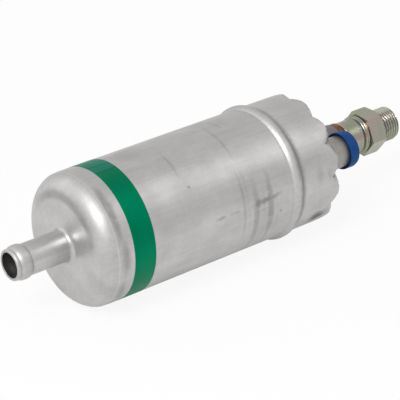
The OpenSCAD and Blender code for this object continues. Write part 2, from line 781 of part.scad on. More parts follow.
// Rectangular bar standing out from the axis at a turn, centred on station brush_x
module radial_bar(turn, r0, r1, w, b) {
  rotate(turn) translate([r0, -w / 2, brush_x - b / 2]) cube([r1 - r0, w, b]);
}
module brush_holder() {
  plate_r = flux_in_r - stack_gap;
  plate_x = cap_in_x - holder_t;
  block_wall = 2;
  block_w = guide_w + 2 * block_wall;
  block_x0 = brush_x - guide_b / 2 - block_wall / 2;
  block_foot_gap = 0.6;
  shaft_hole_gap = 1;
  passage_hole_r = 3;
  color("darkslategray") along_x() difference() {
    union() {
      rod(plate_x, cap_in_x, plate_r);
      intersection() {
        rod(block_x0, cap_in_x, plate_r);
        for (turn = brush_turns) rotate(turn)
          translate([guide_foot_r + block_foot_gap, -block_w / 2, block_x0])
            cube([plate_r, block_w, cap_in_x - block_x0]);
      }
    }
    rod(plate_x - over, cap_in_x + over, segment_in_r + shaft_hole_gap);
    for (turn = brush_turns)
      radial_bar(turn, guide_foot_r - over, guide_top_r + slip, guide_w + 2 * slip, guide_b + 2 * slip);
    for (turn = [60, 120, 240, 300]) round_at(terminal_turn + turn, slot_r)
      rod(plate_x - over, cap_in_x + over, passage_hole_r);
  }
}
module brush_guides() {
  color("gold") along_x() for (turn = brush_turns) difference() {
    radial_bar(turn, guide_foot_r, guide_top_r, guide_w, guide_b);
    radial_bar(turn, guide_foot_r - over, guide_top_r - guide_t,
               brush_w + 2 * brush_gap, brush_b + 2 * brush_gap);
  }
}
module brush(turn) {
  color("darkslategray") along_x() difference() {
    radial_bar(turn, commutator_r - 1, brush_top_r, brush_w, brush_b);
    rod(brush_x - brush_b, brush_x + brush_b, brush_foot_r);
  }
}
module brush_a() { brush(brush_turns[0]); }
module brush_b() { brush(brush_turns[1]); }
module brush_spring(turn) {
  end_gap = 0.1;
  color("silver") along_x() rotate(turn) translate([brush_top_r + end_gap, 0, brush_x])
    rotate([0, 90, 0])
      coil(brush_w / 2 - 1, brush_wire_d, brush_spring_room - 2 * end_gap, 3);
}
module brush_spring_a() { brush_spring(brush_turns[0]); }
module brush_spring_b() { brush_spring(brush_turns[1]); }

// The chokes lie on the brush holder's plate, square to the line of the terminals
choke_d = 3.6;
choke_l = 13;
choke_inset = 5.5;
choke_r = recess_r - choke_inset;
choke_gap = 0.1;
choke_x = cap_in_x + choke_d / 2 + choke_gap;
module suppression_chokes() {
  wire_d = 1;
  wire_pitch = 1.2;
  side_turns = 4;
  core_d = choke_d - wire_pitch;
  color("darkorange") along_x() for (turn = [90, 270]) rotate(terminal_turn + turn)
    translate([choke_r, 0, choke_x]) rotate([90, 0, 0]) {
      translate([0, 0, -choke_l / 2]) cylinder(d = core_d, h = choke_l);
      for (i = [-side_turns:side_turns]) translate([0, 0, i * wire_pitch - wire_d / 2])
        cylinder(d = choke_d, h = wire_d);
    }
}
// Straight run of wire between two points
module wire(from, to, d) {
  run = to - from;
  length = norm(run);
  translate(from) rotate([0, acos(run[2] / length), atan2(run[1], run[0])]) cylinder(d = d, h = length);
}
module terminal_leads() {
  wire_d = 1;
  lug_t = 0.6;
  choke_end = [choke_l / 2 + wire_d / 2, choke_r, choke_x];
  lug_edge = [terminal_r - 1, lug_r - 0.2, stud_in_x + lug_t / 2];
  color("peru") along_x() for (side = [0, 1]) rotate(terminal_turn + 180 * side) {
    wire(choke_end, lug_edge, wire_d);
    translate([terminal_r, 0, 0])
      tube(lug_r, [positive_d / 2, negative_core_r][side], stud_in_x, stud_in_x + lug_t);
  }
}

module terminal_places(turns) {
  for (turn = turns) round_at(terminal_turn + turn, terminal_r) children();
}
// Sealing ring's place, and the room that its groove leaves it
seal_depth = 4.2;
seal_x = recess_x + seal_depth;
seal_side_room = 0.4;
seal_groove_w = seal_d + 2 * seal_side_room;
seal_squeeze_gap = 0.1;
seal_groove_r = can_in_r - seal_d - seal_squeeze_gap;
// Pocket behind the bearing bracket, and the passage from it to the outlet
pocket_gap = 5;
pocket_r = hub_r + pocket_gap;
pocket_l = 3.5;
passage_r = 4.2;
module end_cap() {
  color("darkgray") along_x() difference() {
    union() {
      rotate_extrude() difference() {
        polygon([
          [0, cap_in_x], [stack_r, cap_in_x], [stack_r, shoulder_sum - shoulder_slip - stack_r],
          [shoulder_sum - shoulder_slip - cap_face_x, cap_face_x], [0, cap_face_x]
        ]);
        band_2d(seal_groove_r, can_r, seal_x - seal_groove_w / 2, seal_x + seal_groove_w / 2);
      }
      rod(cap_face_x - over, boss_x - boss_taper_l, boss_r);
      at(boss_x - boss_taper_l - eps) cylinder(r1 = boss_r, r2 = washer_r, h = boss_taper_l + eps);
      terminal_places([0, 180]) rod(cap_face_x - over, turret_x, turret_r);
    }
    rod(cap_in_x - over, recess_x, recess_r);
    rod(recess_x - over, recess_x + pocket_l, pocket_r);
    rod(recess_x, boss_x, passage_r);
    rod(spigot_x - 1, boss_x + over, spigot_d / 2 + slip);
    terminal_places([0]) {
      rod(recess_x - over, turret_x, positive_d / 2 + insulator_t + slip);
      rod(turret_x - nut_recess_l - insulator_flange_t, turret_x + over, nut_recess_r);
    }
    terminal_places([180]) {
      rod(recess_x - over, turret_x + over, negative_core_r + insulator_t + slip);
    }
  }
}
module end_cap_seal() {
  color("black") along_x() rotate_extrude()
    translate([seal_groove_r + seal_d / 2 + slip, seal_x]) circle(d = seal_d);
}
module terminal_insulator() {
  flange_x = turret_x - nut_recess_l - insulator_flange_t;
  // The sleeves stand out of the cap's inside, towards the ring lugs
  foot_l = 1.8;
  color("ivory") along_x() {
    terminal_places([0]) difference() {
      union() {
        rod(recess_x - foot_l, flange_x + eps, positive_d / 2 + insulator_t);
        rod(flange_x, flange_x + insulator_flange_t, nut_recess_r - slip);
      }
      rod(recess_x - foot_l - over, turret_x, positive_d / 2);
    }
    terminal_places([180]) difference() {
      rod(recess_x - foot_l, turret_x, negative_core_r + insulator_t);
      rod(recess_x - foot_l - over, turret_x + over, negative_core_r);
    }
  }
}
module stud_head() { rod(stud_in_x - stud_head_t, stud_in_x, positive_d / 2 + stud_head_over); }
module positive_stud() {
  color("goldenrod") along_x() terminal_places([0]) {
    rod(stud_in_x, positive_end_x, positive_d / 2);
    stud_head();
  }
}
module negative_stud() {
  nut_top_x = negative_end_x - negative_free_l;
  color("silver") along_x() terminal_places([180]) {
    rod(stud_in_x, nut_top_x + 0.1, negative_core_r);
    rod(nut_top_x + 0.1, negative_end_x, negative_d / 2);
    stud_head();
  }
}
module nut(d, bore_r, x) {
  h = nut_h_share * d;
  flat_r = nut_af_share * d / 2;
  corner_r = flat_r * nut_corner_share;
  chamfer = 0.5;
  at(x) difference() {
    intersection() {
      hex_prism(2 * flat_r, h);
      rotate_extrude() polygon([
        [0, 0], [flat_r, 0], [corner_r, chamfer], [corner_r, h - chamfer], [flat_r, h], [0, h]
      ]);
    }
    rod(-over, h + over, bore_r);
  }
}
module positive_nut() {
  color("gold") along_x() terminal_places([0]) nut(positive_d, positive_d / 2, positive_nut_x);
}
module negative_nut() {
  color("silver") along_x() terminal_places([180]) nut(negative_d, negative_core_r, negative_nut_x);
}
module terminal_washers() {
  side_gap = 0.2;
  color("silver") along_x() {
    terminal_places([0])
      tube(nut_recess_r - side_gap, positive_d / 2, positive_nut_x - terminal_washer_t, positive_nut_x);
    terminal_places([180])
      tube(washer_share * negative_d / 2, negative_core_r, turret_x, turret_x + terminal_washer_t);
  }
}
module terminal_cover() {
  cover_r = turret_r + cover_gap + cover_wall;
  color("royalblue") along_x() terminal_places([0]) difference() {
    union() {
      rod(cover_x, cover_x + cover_l - cover_end_l, cover_r);
      rod(cover_x, cover_x + cover_l, cover_r - cover_end_step);
    }
    rod(cover_x - over, cover_x + cover_l - cover_top_t, turret_r + cover_gap);
  }
}

module copper_washer() {
  color("peru") along_x() tube(washer_r, spigot_d / 2 + slip, boss_x, shank_x);
}
// Ring grooves stand for the thread: flat crests on the thread's diameter, cut at its pitch
module thread_2d(r, pitch, x0, x1) {
  depth = 0.61 * pitch;
  crest = pitch / 6;
  count = floor((x1 - x0 - crest) / pitch);
  first = x1 - crest - count * pitch;
  points = [
    for (i = [0:count - 1])
      let (x = first + i * pitch)
      each [[r, x + crest / 2], [r - depth, x + pitch / 2 + crest / 4],
            [r - depth, x + pitch / 2 + crest * 0.75], [r, x + pitch + crest / 2]]
  ];
  polygon(concat([[0, x0], [r, x0]], points, [[r, x1 - crest / 4], [r - crest, x1], [0, x1]]));
}
module valve_body() {
  hex_r = hex_af / 2 / cos(30);
  chamfer = hex_r - hex_af / 2;
  small_ridge_r = shank_r + (ridge_d - shank_d) / 6;
  ridge_groove_l = 0.7;
  ridge_step_l = 0.3;
  small_ridge_l = 1.3;
  color("darkkhaki") along_x() difference() {
    union() {
      rod(spigot_x, shank_x + over, spigot_d / 2);
      rod(shank_x, hex_x, shank_r);
      at(shank_x) cylinder(r1 = shank_r + shank_foot_h, r2 = shank_r, h = shank_foot_l);
      rod(ridge_x, ridge_x + small_ridge_l, small_ridge_r);
      rod(ridge_x + small_ridge_l + ridge_groove_l, hex_x - ridge_step_l, ridge_d / 2);
      rotate(hex_turn) intersection() {
        at(hex_x) hex_prism(hex_af, hex_l);
        rotate_extrude() polygon([
          [0, hex_x], [hex_r, hex_x], [hex_r, thread_x - chamfer / 2],
          [hex_r - chamfer, thread_x], [0, thread_x]
        ]);
      }
      rotate_extrude() thread_2d(outlet_thread_d / 2, outlet_pitch, thread_x - eps, outlet_x);
    }
    rod(spigot_x - over, chamber_end_x, chamber_d / 2);
    rod(spigot_x, outlet_x + over, outlet_bore_d / 2);
  }
}
module valve_seat() {
  color("gold") along_x()
    tube(chamber_d / 2 - slip, seat_orifice_d / 2, spigot_x, seat_x);
}
module valve_poppet() {
  guide_r = chamber_d / 2 - poppet_guide_gap;
  color("silver") along_x() {
    rod(poppet_x + valve_seal_t, poppet_back_x, poppet_head_r);
    rod(poppet_back_x - eps, poppet_back_x + poppet_stem_l, poppet_stem_r);
    for (turn = [0, 90]) rotate(turn)
      translate([-guide_r, -poppet_wing_w / 2, poppet_x + valve_seal_t])
        cube([2 * guide_r, poppet_wing_w, poppet_head_t]);
  }
}
module valve_seal() {
  edge = 0.2;
  color("black") along_x() rod(poppet_x, poppet_x + valve_seal_t, poppet_head_r - edge);
}
module valve_spring() {
  color("silver") along_x() at(poppet_back_x + 0.05)
    coil(poppet_spring_r, poppet_wire_d, chamber_end_x - poppet_back_x - 0.1, 7);
}

can();
colour_band();
strainer_frame();
strainer_gauze();
suction_plate();
cam_ring();
pump_rotor();
roller_1();
roller_2();
roller_3();
roller_4();
roller_5();
discharge_plate();
stage_dowels();
relief_ball();
relief_spring();
relief_plug();
front_bush();
middle_bush();
rear_bush();
bearing_bracket();
drive_dog();
armature_shaft();
armature_core();
core_insulators();
windings();
commutator_hub();
commutator_segments();
thrust_washers();
magnet_upper();
magnet_lower();
magnet_clips();
flux_ring();
brush_holder();
brush_guides();
brush_a();
brush_b();
brush_spring_a();
brush_spring_b();
suppression_chokes();
terminal_leads();
end_cap();
end_cap_seal();
terminal_insulator();
positive_stud();
positive_nut();
negative_stud();
negative_nut();
terminal_washers();
terminal_cover();
copper_washer();
valve_body();
valve_seat();
valve_poppet();
valve_seal();
valve_spring();
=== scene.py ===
# An in-line electric fuel pump: a drawn aluminium can that holds a roller-cell pump and its motor,
# with a hose nipple at the inlet end and a crimped end cap, terminals and outlet valve at the other.
# Lengths in the sections are millimetres along the pump's axis, X, unless a name says otherwise.
import math

import bpy
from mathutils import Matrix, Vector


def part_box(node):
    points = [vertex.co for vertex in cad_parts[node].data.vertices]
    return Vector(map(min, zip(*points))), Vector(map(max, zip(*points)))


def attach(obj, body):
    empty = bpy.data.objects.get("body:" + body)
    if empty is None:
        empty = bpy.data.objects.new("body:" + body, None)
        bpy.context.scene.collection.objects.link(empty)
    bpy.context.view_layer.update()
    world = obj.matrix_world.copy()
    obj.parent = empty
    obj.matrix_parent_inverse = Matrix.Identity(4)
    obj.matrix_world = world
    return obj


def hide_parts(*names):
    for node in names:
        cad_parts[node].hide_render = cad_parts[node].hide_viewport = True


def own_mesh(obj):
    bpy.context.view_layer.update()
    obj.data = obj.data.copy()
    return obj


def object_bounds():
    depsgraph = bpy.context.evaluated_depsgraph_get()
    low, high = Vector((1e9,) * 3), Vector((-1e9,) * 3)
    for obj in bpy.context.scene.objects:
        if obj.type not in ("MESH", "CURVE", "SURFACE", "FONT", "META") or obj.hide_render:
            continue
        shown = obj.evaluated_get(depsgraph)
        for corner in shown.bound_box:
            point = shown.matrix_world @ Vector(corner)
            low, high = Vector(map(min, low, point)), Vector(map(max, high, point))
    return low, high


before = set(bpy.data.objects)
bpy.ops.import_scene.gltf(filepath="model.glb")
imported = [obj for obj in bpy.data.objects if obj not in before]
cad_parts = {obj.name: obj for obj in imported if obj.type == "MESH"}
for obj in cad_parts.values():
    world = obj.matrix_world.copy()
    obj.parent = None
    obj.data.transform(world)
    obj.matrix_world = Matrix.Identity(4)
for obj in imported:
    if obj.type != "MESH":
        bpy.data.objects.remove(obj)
cad_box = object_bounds()

# The can is one impact-extruded aluminium shell with its inlet nipple, its rolled bead and a rim
# that is crimped into twelve lobes over the end cap. It is left bare, with drawing lines, tool
# marks and scuffs, and has painted shade in its bore and on its bead, and a painted dark
# reflection and a painted highlight on its dome.
MM = 0.001


def extent(name):
    """A CAD node's first and last station, its middle (y, z) and its radius across the axis."""
    low, high = (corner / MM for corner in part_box(name))
    return low.x, high.x, ((low.y + high.y) / 2, (low.z + high.z) / 2), (high.y - low.y) / 2


def arc(x, r, radius, start, end, count):
    """Points (x, r) along an arc, from one angle to another, in degrees from the X axis."""
    angles = [math.radians(start + (end - start) * i / count) for i in range(count + 1)]
    return [(x + radius * math.cos(a), r + radius * math.sin(a)) for a in angles]


def line(start, end, r, step):
    """Points (x, r) at one radius from start to end, both left out, no more than step apart."""
    count = max(1, math.ceil(abs(end - start) / step))
    return [(start + (end - start) * i / count, r) for i in range(1, count)]


def swell(x0, x1, r, height, fullness, count):
    """Points over a raised band that stands on a radius; its flanks steepen with its fullness."""
    shares = [-math.cos(math.pi * i / count) for i in range(count + 1)]
    return [((x0 + x1) / 2 + (x1 - x0) / 2 * t, r + height * (1 - abs(t) ** fullness)) for t in shares]


def direction(turn):
    """Across the axis, (y, z) at a turn in degrees: 0 is down, 90 is +Y."""
    return math.sin(math.radians(turn)), -math.cos(math.radians(turn))


def turned(name, outline, steps=96, turn=0.0, at=(0.0, 0.0), sweep=360.0):
    """A closed outline of (x, radius) points, spun round the X axis or one beside it."""
    y, z = direction(turn)
    bpy.ops.object.select_all(action="DESELECT")
    bpy.ops.mesh.primitive_circle_add(vertices=len(outline), radius=MM)
    piece = bpy.context.active_object
    piece.name = piece.data.name = name
    for vertex, (x, r) in zip(piece.data.vertices, outline):
        vertex.co = (x * MM, (at[0] + r * y) * MM, (at[1] + r * z) * MM)
    bpy.ops.object.mode_set(mode="EDIT")
    bpy.ops.mesh.select_all(action="SELECT")
    bpy.ops.mesh.spin(steps=steps, angle=math.radians(sweep), axis=(1, 0, 0),
                      center=(0, at[0] * MM, at[1] * MM))
    bpy.ops.mesh.select_all(action="SELECT")
    bpy.ops.mesh.remove_doubles(threshold=1e-6)
    bpy.ops.mesh.dissolve_degenerate(threshold=1e-7)
    if sweep < 360:
        bpy.ops.mesh.select_all(action="SELECT")
        bpy.ops.mesh.fill_holes(sides=0)
    bpy.ops.mesh.select_all(action="SELECT")
    bpy.ops.mesh.normals_make_consistent(inside=False)
    bpy.ops.object.mode_set(mode="OBJECT")
    return piece


def smooth(piece, degrees=30):
    bpy.ops.object.select_all(action="DESELECT")
    piece.select_set(True)
    bpy.context.view_layer.objects.active = piece
    bpy.ops.object.shade_smooth_by_angle(angle=math.radians(degrees))


def polar(vertex, at=(0.0, 0.0)):
    """A vertex as (x, radius, turn in degrees) about an axis along X."""
    x, y, z = (c / MM for c in vertex.co)
    y, z = y - at[0], z - at[1]
    return x, math.hypot(y, z), math.degrees(math.atan2(y, -z))


def place(vertex, x, r, turn, at=(0.0, 0.0)):
    y, z = direction(turn)
    vertex.co = (x * MM, (at[0] + r * y) * MM, (at[1] + r * z) * MM)


MOUTH_X, RIM_X, _, BEAD_CREST_R = extent("can")
CAN_R, CAN_WALL = 30.0, 1.5
GRIP_X = 46.5
DOME_CORNER_R = 9.0
DOME_X = -GRIP_X - DOME_CORNER_R
NIPPLE_R, NIPPLE_BORE_R = 7.0, 5.5
HOSE_BEAD_X0, HOSE_BEAD_X1, HOSE_BEAD_H = MOUTH_X + 1.8, MOUTH_X + 7.6, 0.7
BEAD_X0, BEAD_X1 = GRIP_X + 0.6, GRIP_X + 6.2
RIM_CORNER_R, RIM_LIP_R, RIM_LIP_T = 1.0, 25.5, 2.3
LOBES, LOBE_TURN, LOBE_DEPTH, LOBE_FLANK_R = 12, 9.0, 3.3, 9.2
FINE_FROM_X, FINE_STEP = 62.0, 0.6

nipple = (
    arc(MOUTH_X + 0.3, NIPPLE_BORE_R + 0.4, 0.3, 250, 180, 4)
    + arc(MOUTH_X + 0.7, NIPPLE_R - 0.7, 0.7, 180, 90, 6)
    + [(HOSE_BEAD_X0 - 0.35, NIPPLE_R), (HOSE_BEAD_X0, NIPPLE_R - 0.2)]
    + swell(HOSE_BEAD_X0 + 0.1, HOSE_BEAD_X1, NIPPLE_R - 0.05, HOSE_BEAD_H + 0.05, 2.6, 18)
    + [(HOSE_BEAD_X1 + 0.3, NIPPLE_R - 0.08), (HOSE_BEAD_X1 + 0.7, NIPPLE_R)]
    + line(HOSE_BEAD_X1 + 0.7, DOME_X - 2, NIPPLE_R, 2.5)
    + arc(DOME_X - 2, NIPPLE_R + 2, 2.0, 270, 360, 8)
)
# The corner of the dome has a crease where the drawing die ended.
dome = (
    [(DOME_X, r) for r in (10.5, 12.5, 14.5, 16.5, 18.5)]
    + arc(-GRIP_X, CAN_R - DOME_CORNER_R, DOME_CORNER_R + 0.05, 180, 102.5, 18)
    + arc(-GRIP_X, CAN_R - DOME_CORNER_R, DOME_CORNER_R - 0.07, 101, 92, 4)
    + [(-GRIP_X + 0.7, CAN_R)]
)
bead = (
    [(BEAD_X0 - 1.3, CAN_R), (BEAD_X0 - 0.5, CAN_R + 0.03)]
    + swell(BEAD_X0, BEAD_X1, CAN_R + 0.1, BEAD_CREST_R - CAN_R - 0.1, 2.1, 20)
    + [(BEAD_X1 + 0.15, CAN_R + 0.02), (BEAD_X1 + 0.45, CAN_R + 0.12), (BEAD_X1 + 0.8, CAN_R + 0.06),
       (BEAD_X1 + 1.4, CAN_R)]
)
wall = line(-GRIP_X + 0.7, BEAD_X0 - 1.3, CAN_R, 7)
skirt = (line(BEAD_X1 + 1.4, FINE_FROM_X, CAN_R, 2)
         + line(FINE_FROM_X - FINE_STEP, RIM_X - RIM_CORNER_R, CAN_R, FINE_STEP))
rim = (
    arc(RIM_X - RIM_CORNER_R, CAN_R - RIM_CORNER_R, RIM_CORNER_R, 90, 0, 8)
    + [(RIM_X, CAN_R - RIM_CORNER_R - FINE_STEP * i) for i in range(1, 6)]
    + arc(RIM_X - 0.3, RIM_LIP_R + 0.3, 0.3, 0, -90, 3)
)
INNER_R = CAN_R - CAN_WALL
inside = (
    [(RIM_X - RIM_LIP_T - 0.74, RIM_LIP_R), (RIM_X - RIM_LIP_T - 3.74, INNER_R), (BEAD_X1 + 0.5, INNER_R)]
    + swell(BEAD_X0 + 0.6, BEAD_X1 - 0.6, INNER_R, BEAD_CREST_R - CAN_R, 2.1, 10)[::-1]
    + [(BEAD_X0 - 1.3, INNER_R), (0.0, INNER_R)]
    + arc(-GRIP_X, CAN_R - DOME_CORNER_R, DOME_CORNER_R - CAN_WALL, 90, 180, 10)
    + [(DOME_X + CAN_WALL, 8.0), (DOME_X - 1.0, NIPPLE_BORE_R), (MOUTH_X + 7.0, NIPPLE_BORE_R),
       (MOUTH_X + 3.7, NIPPLE_BORE_R + 0.7), (MOUTH_X + 1.3, NIPPLE_BORE_R + 0.7)]
)
can = turned("can_shell", nipple + dome + wall + bead + skirt + rim + inside,
             steps=LOBES * 24, turn=LOBE_TURN + 180 / LOBES)

# The crimping tool drives a valley in between each two lobes, along a cone, and draws the wall
# in softly ahead of it, so the crest of a lobe keeps the rim's round corner.
half_pitch = math.pi * (CAN_R - LOBE_DEPTH) / LOBES
valley_drop = math.sqrt(LOBE_FLANK_R ** 2 - half_pitch ** 2)
valley_sum = RIM_X + CAN_R - RIM_CORNER_R * (2 - math.sqrt(2)) - LOBE_DEPTH * math.sqrt(2)
DRAWN_FROM_X, SOFTNESS = 60.0, 0.9
FACE_W = CAN_R - RIM_CORNER_R - RIM_LIP_R
for vertex in can.data.vertices:
    x, r, turn = polar(vertex)
    if x < DRAWN_FROM_X or r < RIM_LIP_R - 0.01 or (x < RIM_X - 4 and r < INNER_R + 0.5):
        continue
    from_crest = (turn - LOBE_TURN + 180 / LOBES) % (360 / LOBES) - 180 / LOBES
    across = min(half_pitch, half_pitch * r / CAN_R * abs(from_crest) * LOBES / 180)
    valley_share = (across / half_pitch) ** 2
    floor_sum = valley_sum + math.sqrt(2) * (math.sqrt(LOBE_FLANK_R ** 2 - across ** 2) - valley_drop)
    gap = x + r - floor_sum
    excess = (gap + math.hypot(gap, SOFTNESS)) / 2
    if gap < 0:
        excess *= valley_share
    down_face = max(0.0, CAN_R - RIM_CORNER_R - r) / FACE_W
    lean = math.pi / 4 * (1 + down_face)
    shift = max(0.0, excess - 0.08 * valley_share) / (math.cos(lean) + math.sin(lean))
    place(vertex, x - shift * math.sin(lean), r - shift * math.cos(lean), turn)
smooth(can, 35)


def node(tree, kind, **values):
    """A shader node; a value is set on the node itself, or else on its input of that name."""
    made = tree.nodes.new("ShaderNode" + kind)
    for key, value in values.items():
        if hasattr(made, key):
            setattr(made, key, value)
        else:
            made.inputs[key.replace("_", " ").title()].default_value = value
    return made


def feed(tree, socket, value):
    """Sets an input to a number or a colour, or links it to another node's output."""
    if isinstance(value, tuple):
        socket.default_value = (*value, 1.0)
    elif isinstance(value, (int, float)):
        socket.default_value = value
    else:
        tree.links.new(value, socket)


def calc(tree, operation, *terms):
    made = node(tree, "Math", operation=operation)
    for socket, term in zip(made.inputs, terms):
        feed(tree, socket, term)
    return made.outputs[0]


def product(tree, first, *others):
    for other in others:
        first = calc(tree, "MULTIPLY", first, other)
    return first


def spread(tree, value, low, high, to_low=0.0, to_high=1.0):
    """A smooth step from low to high."""
    made = node(tree, "MapRange", interpolation_type="SMOOTHSTEP")
    for socket, term in zip(made.inputs, (value, low, high, to_low, to_high)):
        feed(tree, socket, term)
    return made.outputs[0]


def tint(tree, factor, first, second, blend="MIX"):
    made = node(tree, "Mix", data_type="RGBA", blend_type=blend)
    for index, term in ((0, factor), (6, first), (7, second)):
        feed(tree, made.inputs[index], term)
    return made.outputs[2]


def shade(tree, tone, colour):
    """A colour whose brightness follows a tone."""
    made = node(tree, "CombineColor")
    for socket, share in zip(made.inputs, colour):
        feed(tree, socket, product(tree, tone, share))
    return made.outputs[0]


def new_group(name, inputs, outputs):
    """A shader node group with float inputs after its Vector, and float outputs."""
    tree = bpy.data.node_groups.new(name, "ShaderNodeTree")
    tree.interface.new_socket("Vector", in_out="INPUT", socket_type="NodeSocketVector")
    for label, value in inputs.items():
        socket = tree.interface.new_socket(label, in_out="INPUT", socket_type="NodeSocketFloat")
        socket.default_value = value
    for label in outputs:
        tree.interface.new_socket(label, in_out="OUTPUT", socket_type="NodeSocketFloat")
    return tree, tree.nodes.new("NodeGroupInput").outputs, tree.nodes.new("NodeGroupOutput").inputs


def use(tree, group, vector, **values):
    made = tree.nodes.new("ShaderNodeGroup")
    made.node_tree = group
    feed(tree, made.inputs["Vector"], vector)
    for key, value in values.items():
        feed(tree, made.inputs[key.replace("_", " ").title()], value)
    return made.outputs


# Mottle is an uneven tone at a size, such as grain, cloudy patches or, where the mapping that feeds
# it draws it out, tool lines. Blotches are patches with an edge, for stains and handling marks.
mottle, given, result = new_group("mottle", {"Size": 0.001, "Contrast": 0.1}, ["Tone", "Height"])
uneven = node(mottle, "TexNoise", Detail=5.0, Roughness=0.62)
feed(mottle, uneven.inputs["Vector"], given["Vector"])
feed(mottle, uneven.inputs["Scale"], calc(mottle, "DIVIDE", 1.0, given["Size"]))
swing = product(mottle, calc(mottle, "SUBTRACT", uneven.outputs[0], 0.5), given["Contrast"])
feed(mottle, result["Tone"], calc(mottle, "ADD", swing, 1.0))
feed(mottle, result["Height"], uneven.outputs[0])

blotches, given, result = new_group("blotches", {"Size": 0.02, "Cover": 0.5, "Softness": 0.1}, ["Mask"])
patch = node(blotches, "TexNoise", Detail=4.0, Roughness=0.55, Distortion=0.3)
feed(blotches, patch.inputs["Vector"], given["Vector"])
feed(blotches, patch.inputs["Scale"], calc(blotches, "DIVIDE", 1.0, given["Size"]))
edge = calc(blotches, "SUBTRACT", 1.0, given["Cover"])
feed(blotches, result["Mask"],
     spread(blotches, patch.outputs[0], calc(blotches, "SUBTRACT", edge, given["Softness"]),
            calc(blotches, "ADD", edge, given["Softness"])))

# Round gives the radius about an axis along X, and the turn from -Y towards +Z.
round_group, given, result = new_group("round", {}, ["Station", "Radius", "Turn"])
parts = node(round_group, "SeparateXYZ")
feed(round_group, parts.inputs[0], given["Vector"])
feed(round_group, result["Station"], parts.outputs["X"])
squares = [product(round_group, parts.outputs[axis], parts.outputs[axis]) for axis in "YZ"]
feed(round_group, result["Radius"], calc(round_group, "SQRT", calc(round_group, "ADD", *squares)))
feed(round_group, result["Turn"],
     calc(round_group, "ARCTAN2", parts.outputs["Z"], product(round_group, parts.outputs["Y"], -1.0)))

# A scuff is a soft-edged oval at a station and a turn, the first two parts of its Vector.
scuff, given, result = new_group(
    "scuff", {"Middle": 0.0, "Half Length": 0.001, "Turn": 0.0, "Half Arc": 0.1}, ["Mask"])
parts = node(scuff, "SeparateXYZ")
feed(scuff, parts.inputs[0], given["Vector"])
shares = []
for axis, middle, half in ((0, "Middle", "Half Length"), (1, "Turn", "Half Arc")):
    away = calc(scuff, "ABSOLUTE", calc(scuff, "SUBTRACT", parts.outputs[axis], given[middle]))
    share = calc(scuff, "DIVIDE", away, given[half])
    shares.append(product(scuff, share, share))
from_middle = calc(scuff, "SQRT", calc(scuff, "ADD", *shares))
feed(scuff, result["Mask"], spread(scuff, from_middle, 1.15, 0.25))


def new_finish(name, metallic, roughness):
    """An empty material: its tree, its Principled shader and the object's coordinates."""
    material = bpy.data.materials.new(name)
    material.use_nodes = True
    tree = material.node_tree
    tree.nodes.clear()
    shader = node(tree, "BsdfPrincipled", Metallic=metallic, Roughness=roughness)
    feed(tree, node(tree, "OutputMaterial").inputs["Surface"], shader.outputs[0])
    return material, tree, shader.inputs, node(tree, "TexCoord").outputs["Object"]


def mapped(tree, vector, scale=(1, 1, 1), location=(0, 0, 0)):
    made = node(tree, "Mapping")
    made.inputs["Scale"].default_value = scale
    made.inputs["Location"].default_value = location
    feed(tree, made.inputs["Vector"], vector)
    return made.outputs[0]


def relief(tree, shader, height, distance, strength=1.0):
    bump = node(tree, "Bump", Strength=strength, Distance=distance)
    feed(tree, bump.inputs["Height"], height)
    feed(tree, shader["Normal"], bump.outputs[0])


def dress(piece, material):
    piece.data.materials.clear()
    piece.data.materials.append(material)


# Mapping scales that draw a mottle out along the axis, or round it.
ALONG, AROUND = (0.03, 1, 1), (1, 0.03, 0.03)

aluminium, tree, shader, place_in = new_finish("satin_aluminium", 0.92, 0.38)
drawn = use(tree, mottle, mapped(tree, place_in, ALONG), size=0.0012, contrast=0.22)
ringed = use(tree, mottle, mapped(tree, place_in, AROUND), size=0.0016, contrast=0.1)
grain = use(tree, mottle, place_in, size=0.0008, contrast=0.22)
cloudy = use(tree, mottle, mapped(tree, place_in, (0.6, 1, 1)), size=0.009, contrast=0.4)
around = use(tree, round_group, place_in)
wobble = node(tree, "TexNoise", Scale=220.0, Detail=3.0)
feed(tree, wobble.inputs["Vector"], place_in)
wander = product(tree, calc(tree, "SUBTRACT", wobble.outputs[0], 0.5), 0.002)
on_wall = node(tree, "CombineXYZ")
feed(tree, on_wall.inputs[0], calc(tree, "ADD", around["Station"], wander))
feed(tree, on_wall.inputs[1], calc(tree, "ADD", around["Turn"], product(tree, wander, 60.0)))
# The entry at station 52, on the rolled bead's outlet flank, is painted shade; the rest are marks.
# Each mark: station, half length, turn in degrees from -Y towards +Z, half arc, darkness.
MARKS_AND_SHADE = [
    (21.2, 0.9, 74, 30, 0.22), (21.2, 1.0, 20, 34, 0.12), (-7.8, 0.8, 67, 16, 0.22),
    (-6.0, 0.9, 42, 1.8, 0.42), (6.0, 3.4, 8, 1.4, 0.4), (14.0, 4.5, 8.6, 1.2, 0.26),
    (31.6, 9.5, 9.3, 3.2, 0.56), (26.6, 2.6, 9.5, 5.5, 0.6), (33.6, 2.4, 9.8, 5.0, 0.55),
    (25.8, 2.3, -6, 40, 0.34), (29.6, 1.9, -8, 36, 0.14), (33.8, 2.2, -4, 42, 0.42),
    (37.5, 1.2, -14, 22, 0.08), (30.0, 8.0, -12, 24, 0.12), (19.0, 1.1, 12, 40, 0.2),
    (39.6, 1.0, -5.7, 2.2, 0.45), (65.6, 6.0, -34, 9.0, 0.95), (15.5, 0.7, 93, 1.2, 0.3),
    (28.0, 1.0, 96, 14, 0.14), (52.0, 2.6, 20, 150, 0.5),
    (-46.2, 2.6, 44, 30, 0.5), (-45.0, 2.8, 5, 18, 0.4), (-45.5, 2.4, -30, 18, 0.3),
    (63.0, 2.6, 12, 9, 0.16), (68.8, 1.6, 10, 6, 0.22), (-18.0, 9.0, 96, 16, 0.14),
]
# This darkening holds the marks, painted shade on the bead's outlet flank and, further on, a painted dark
# reflection on the dome.
marks_and_painted_shade = 0.0
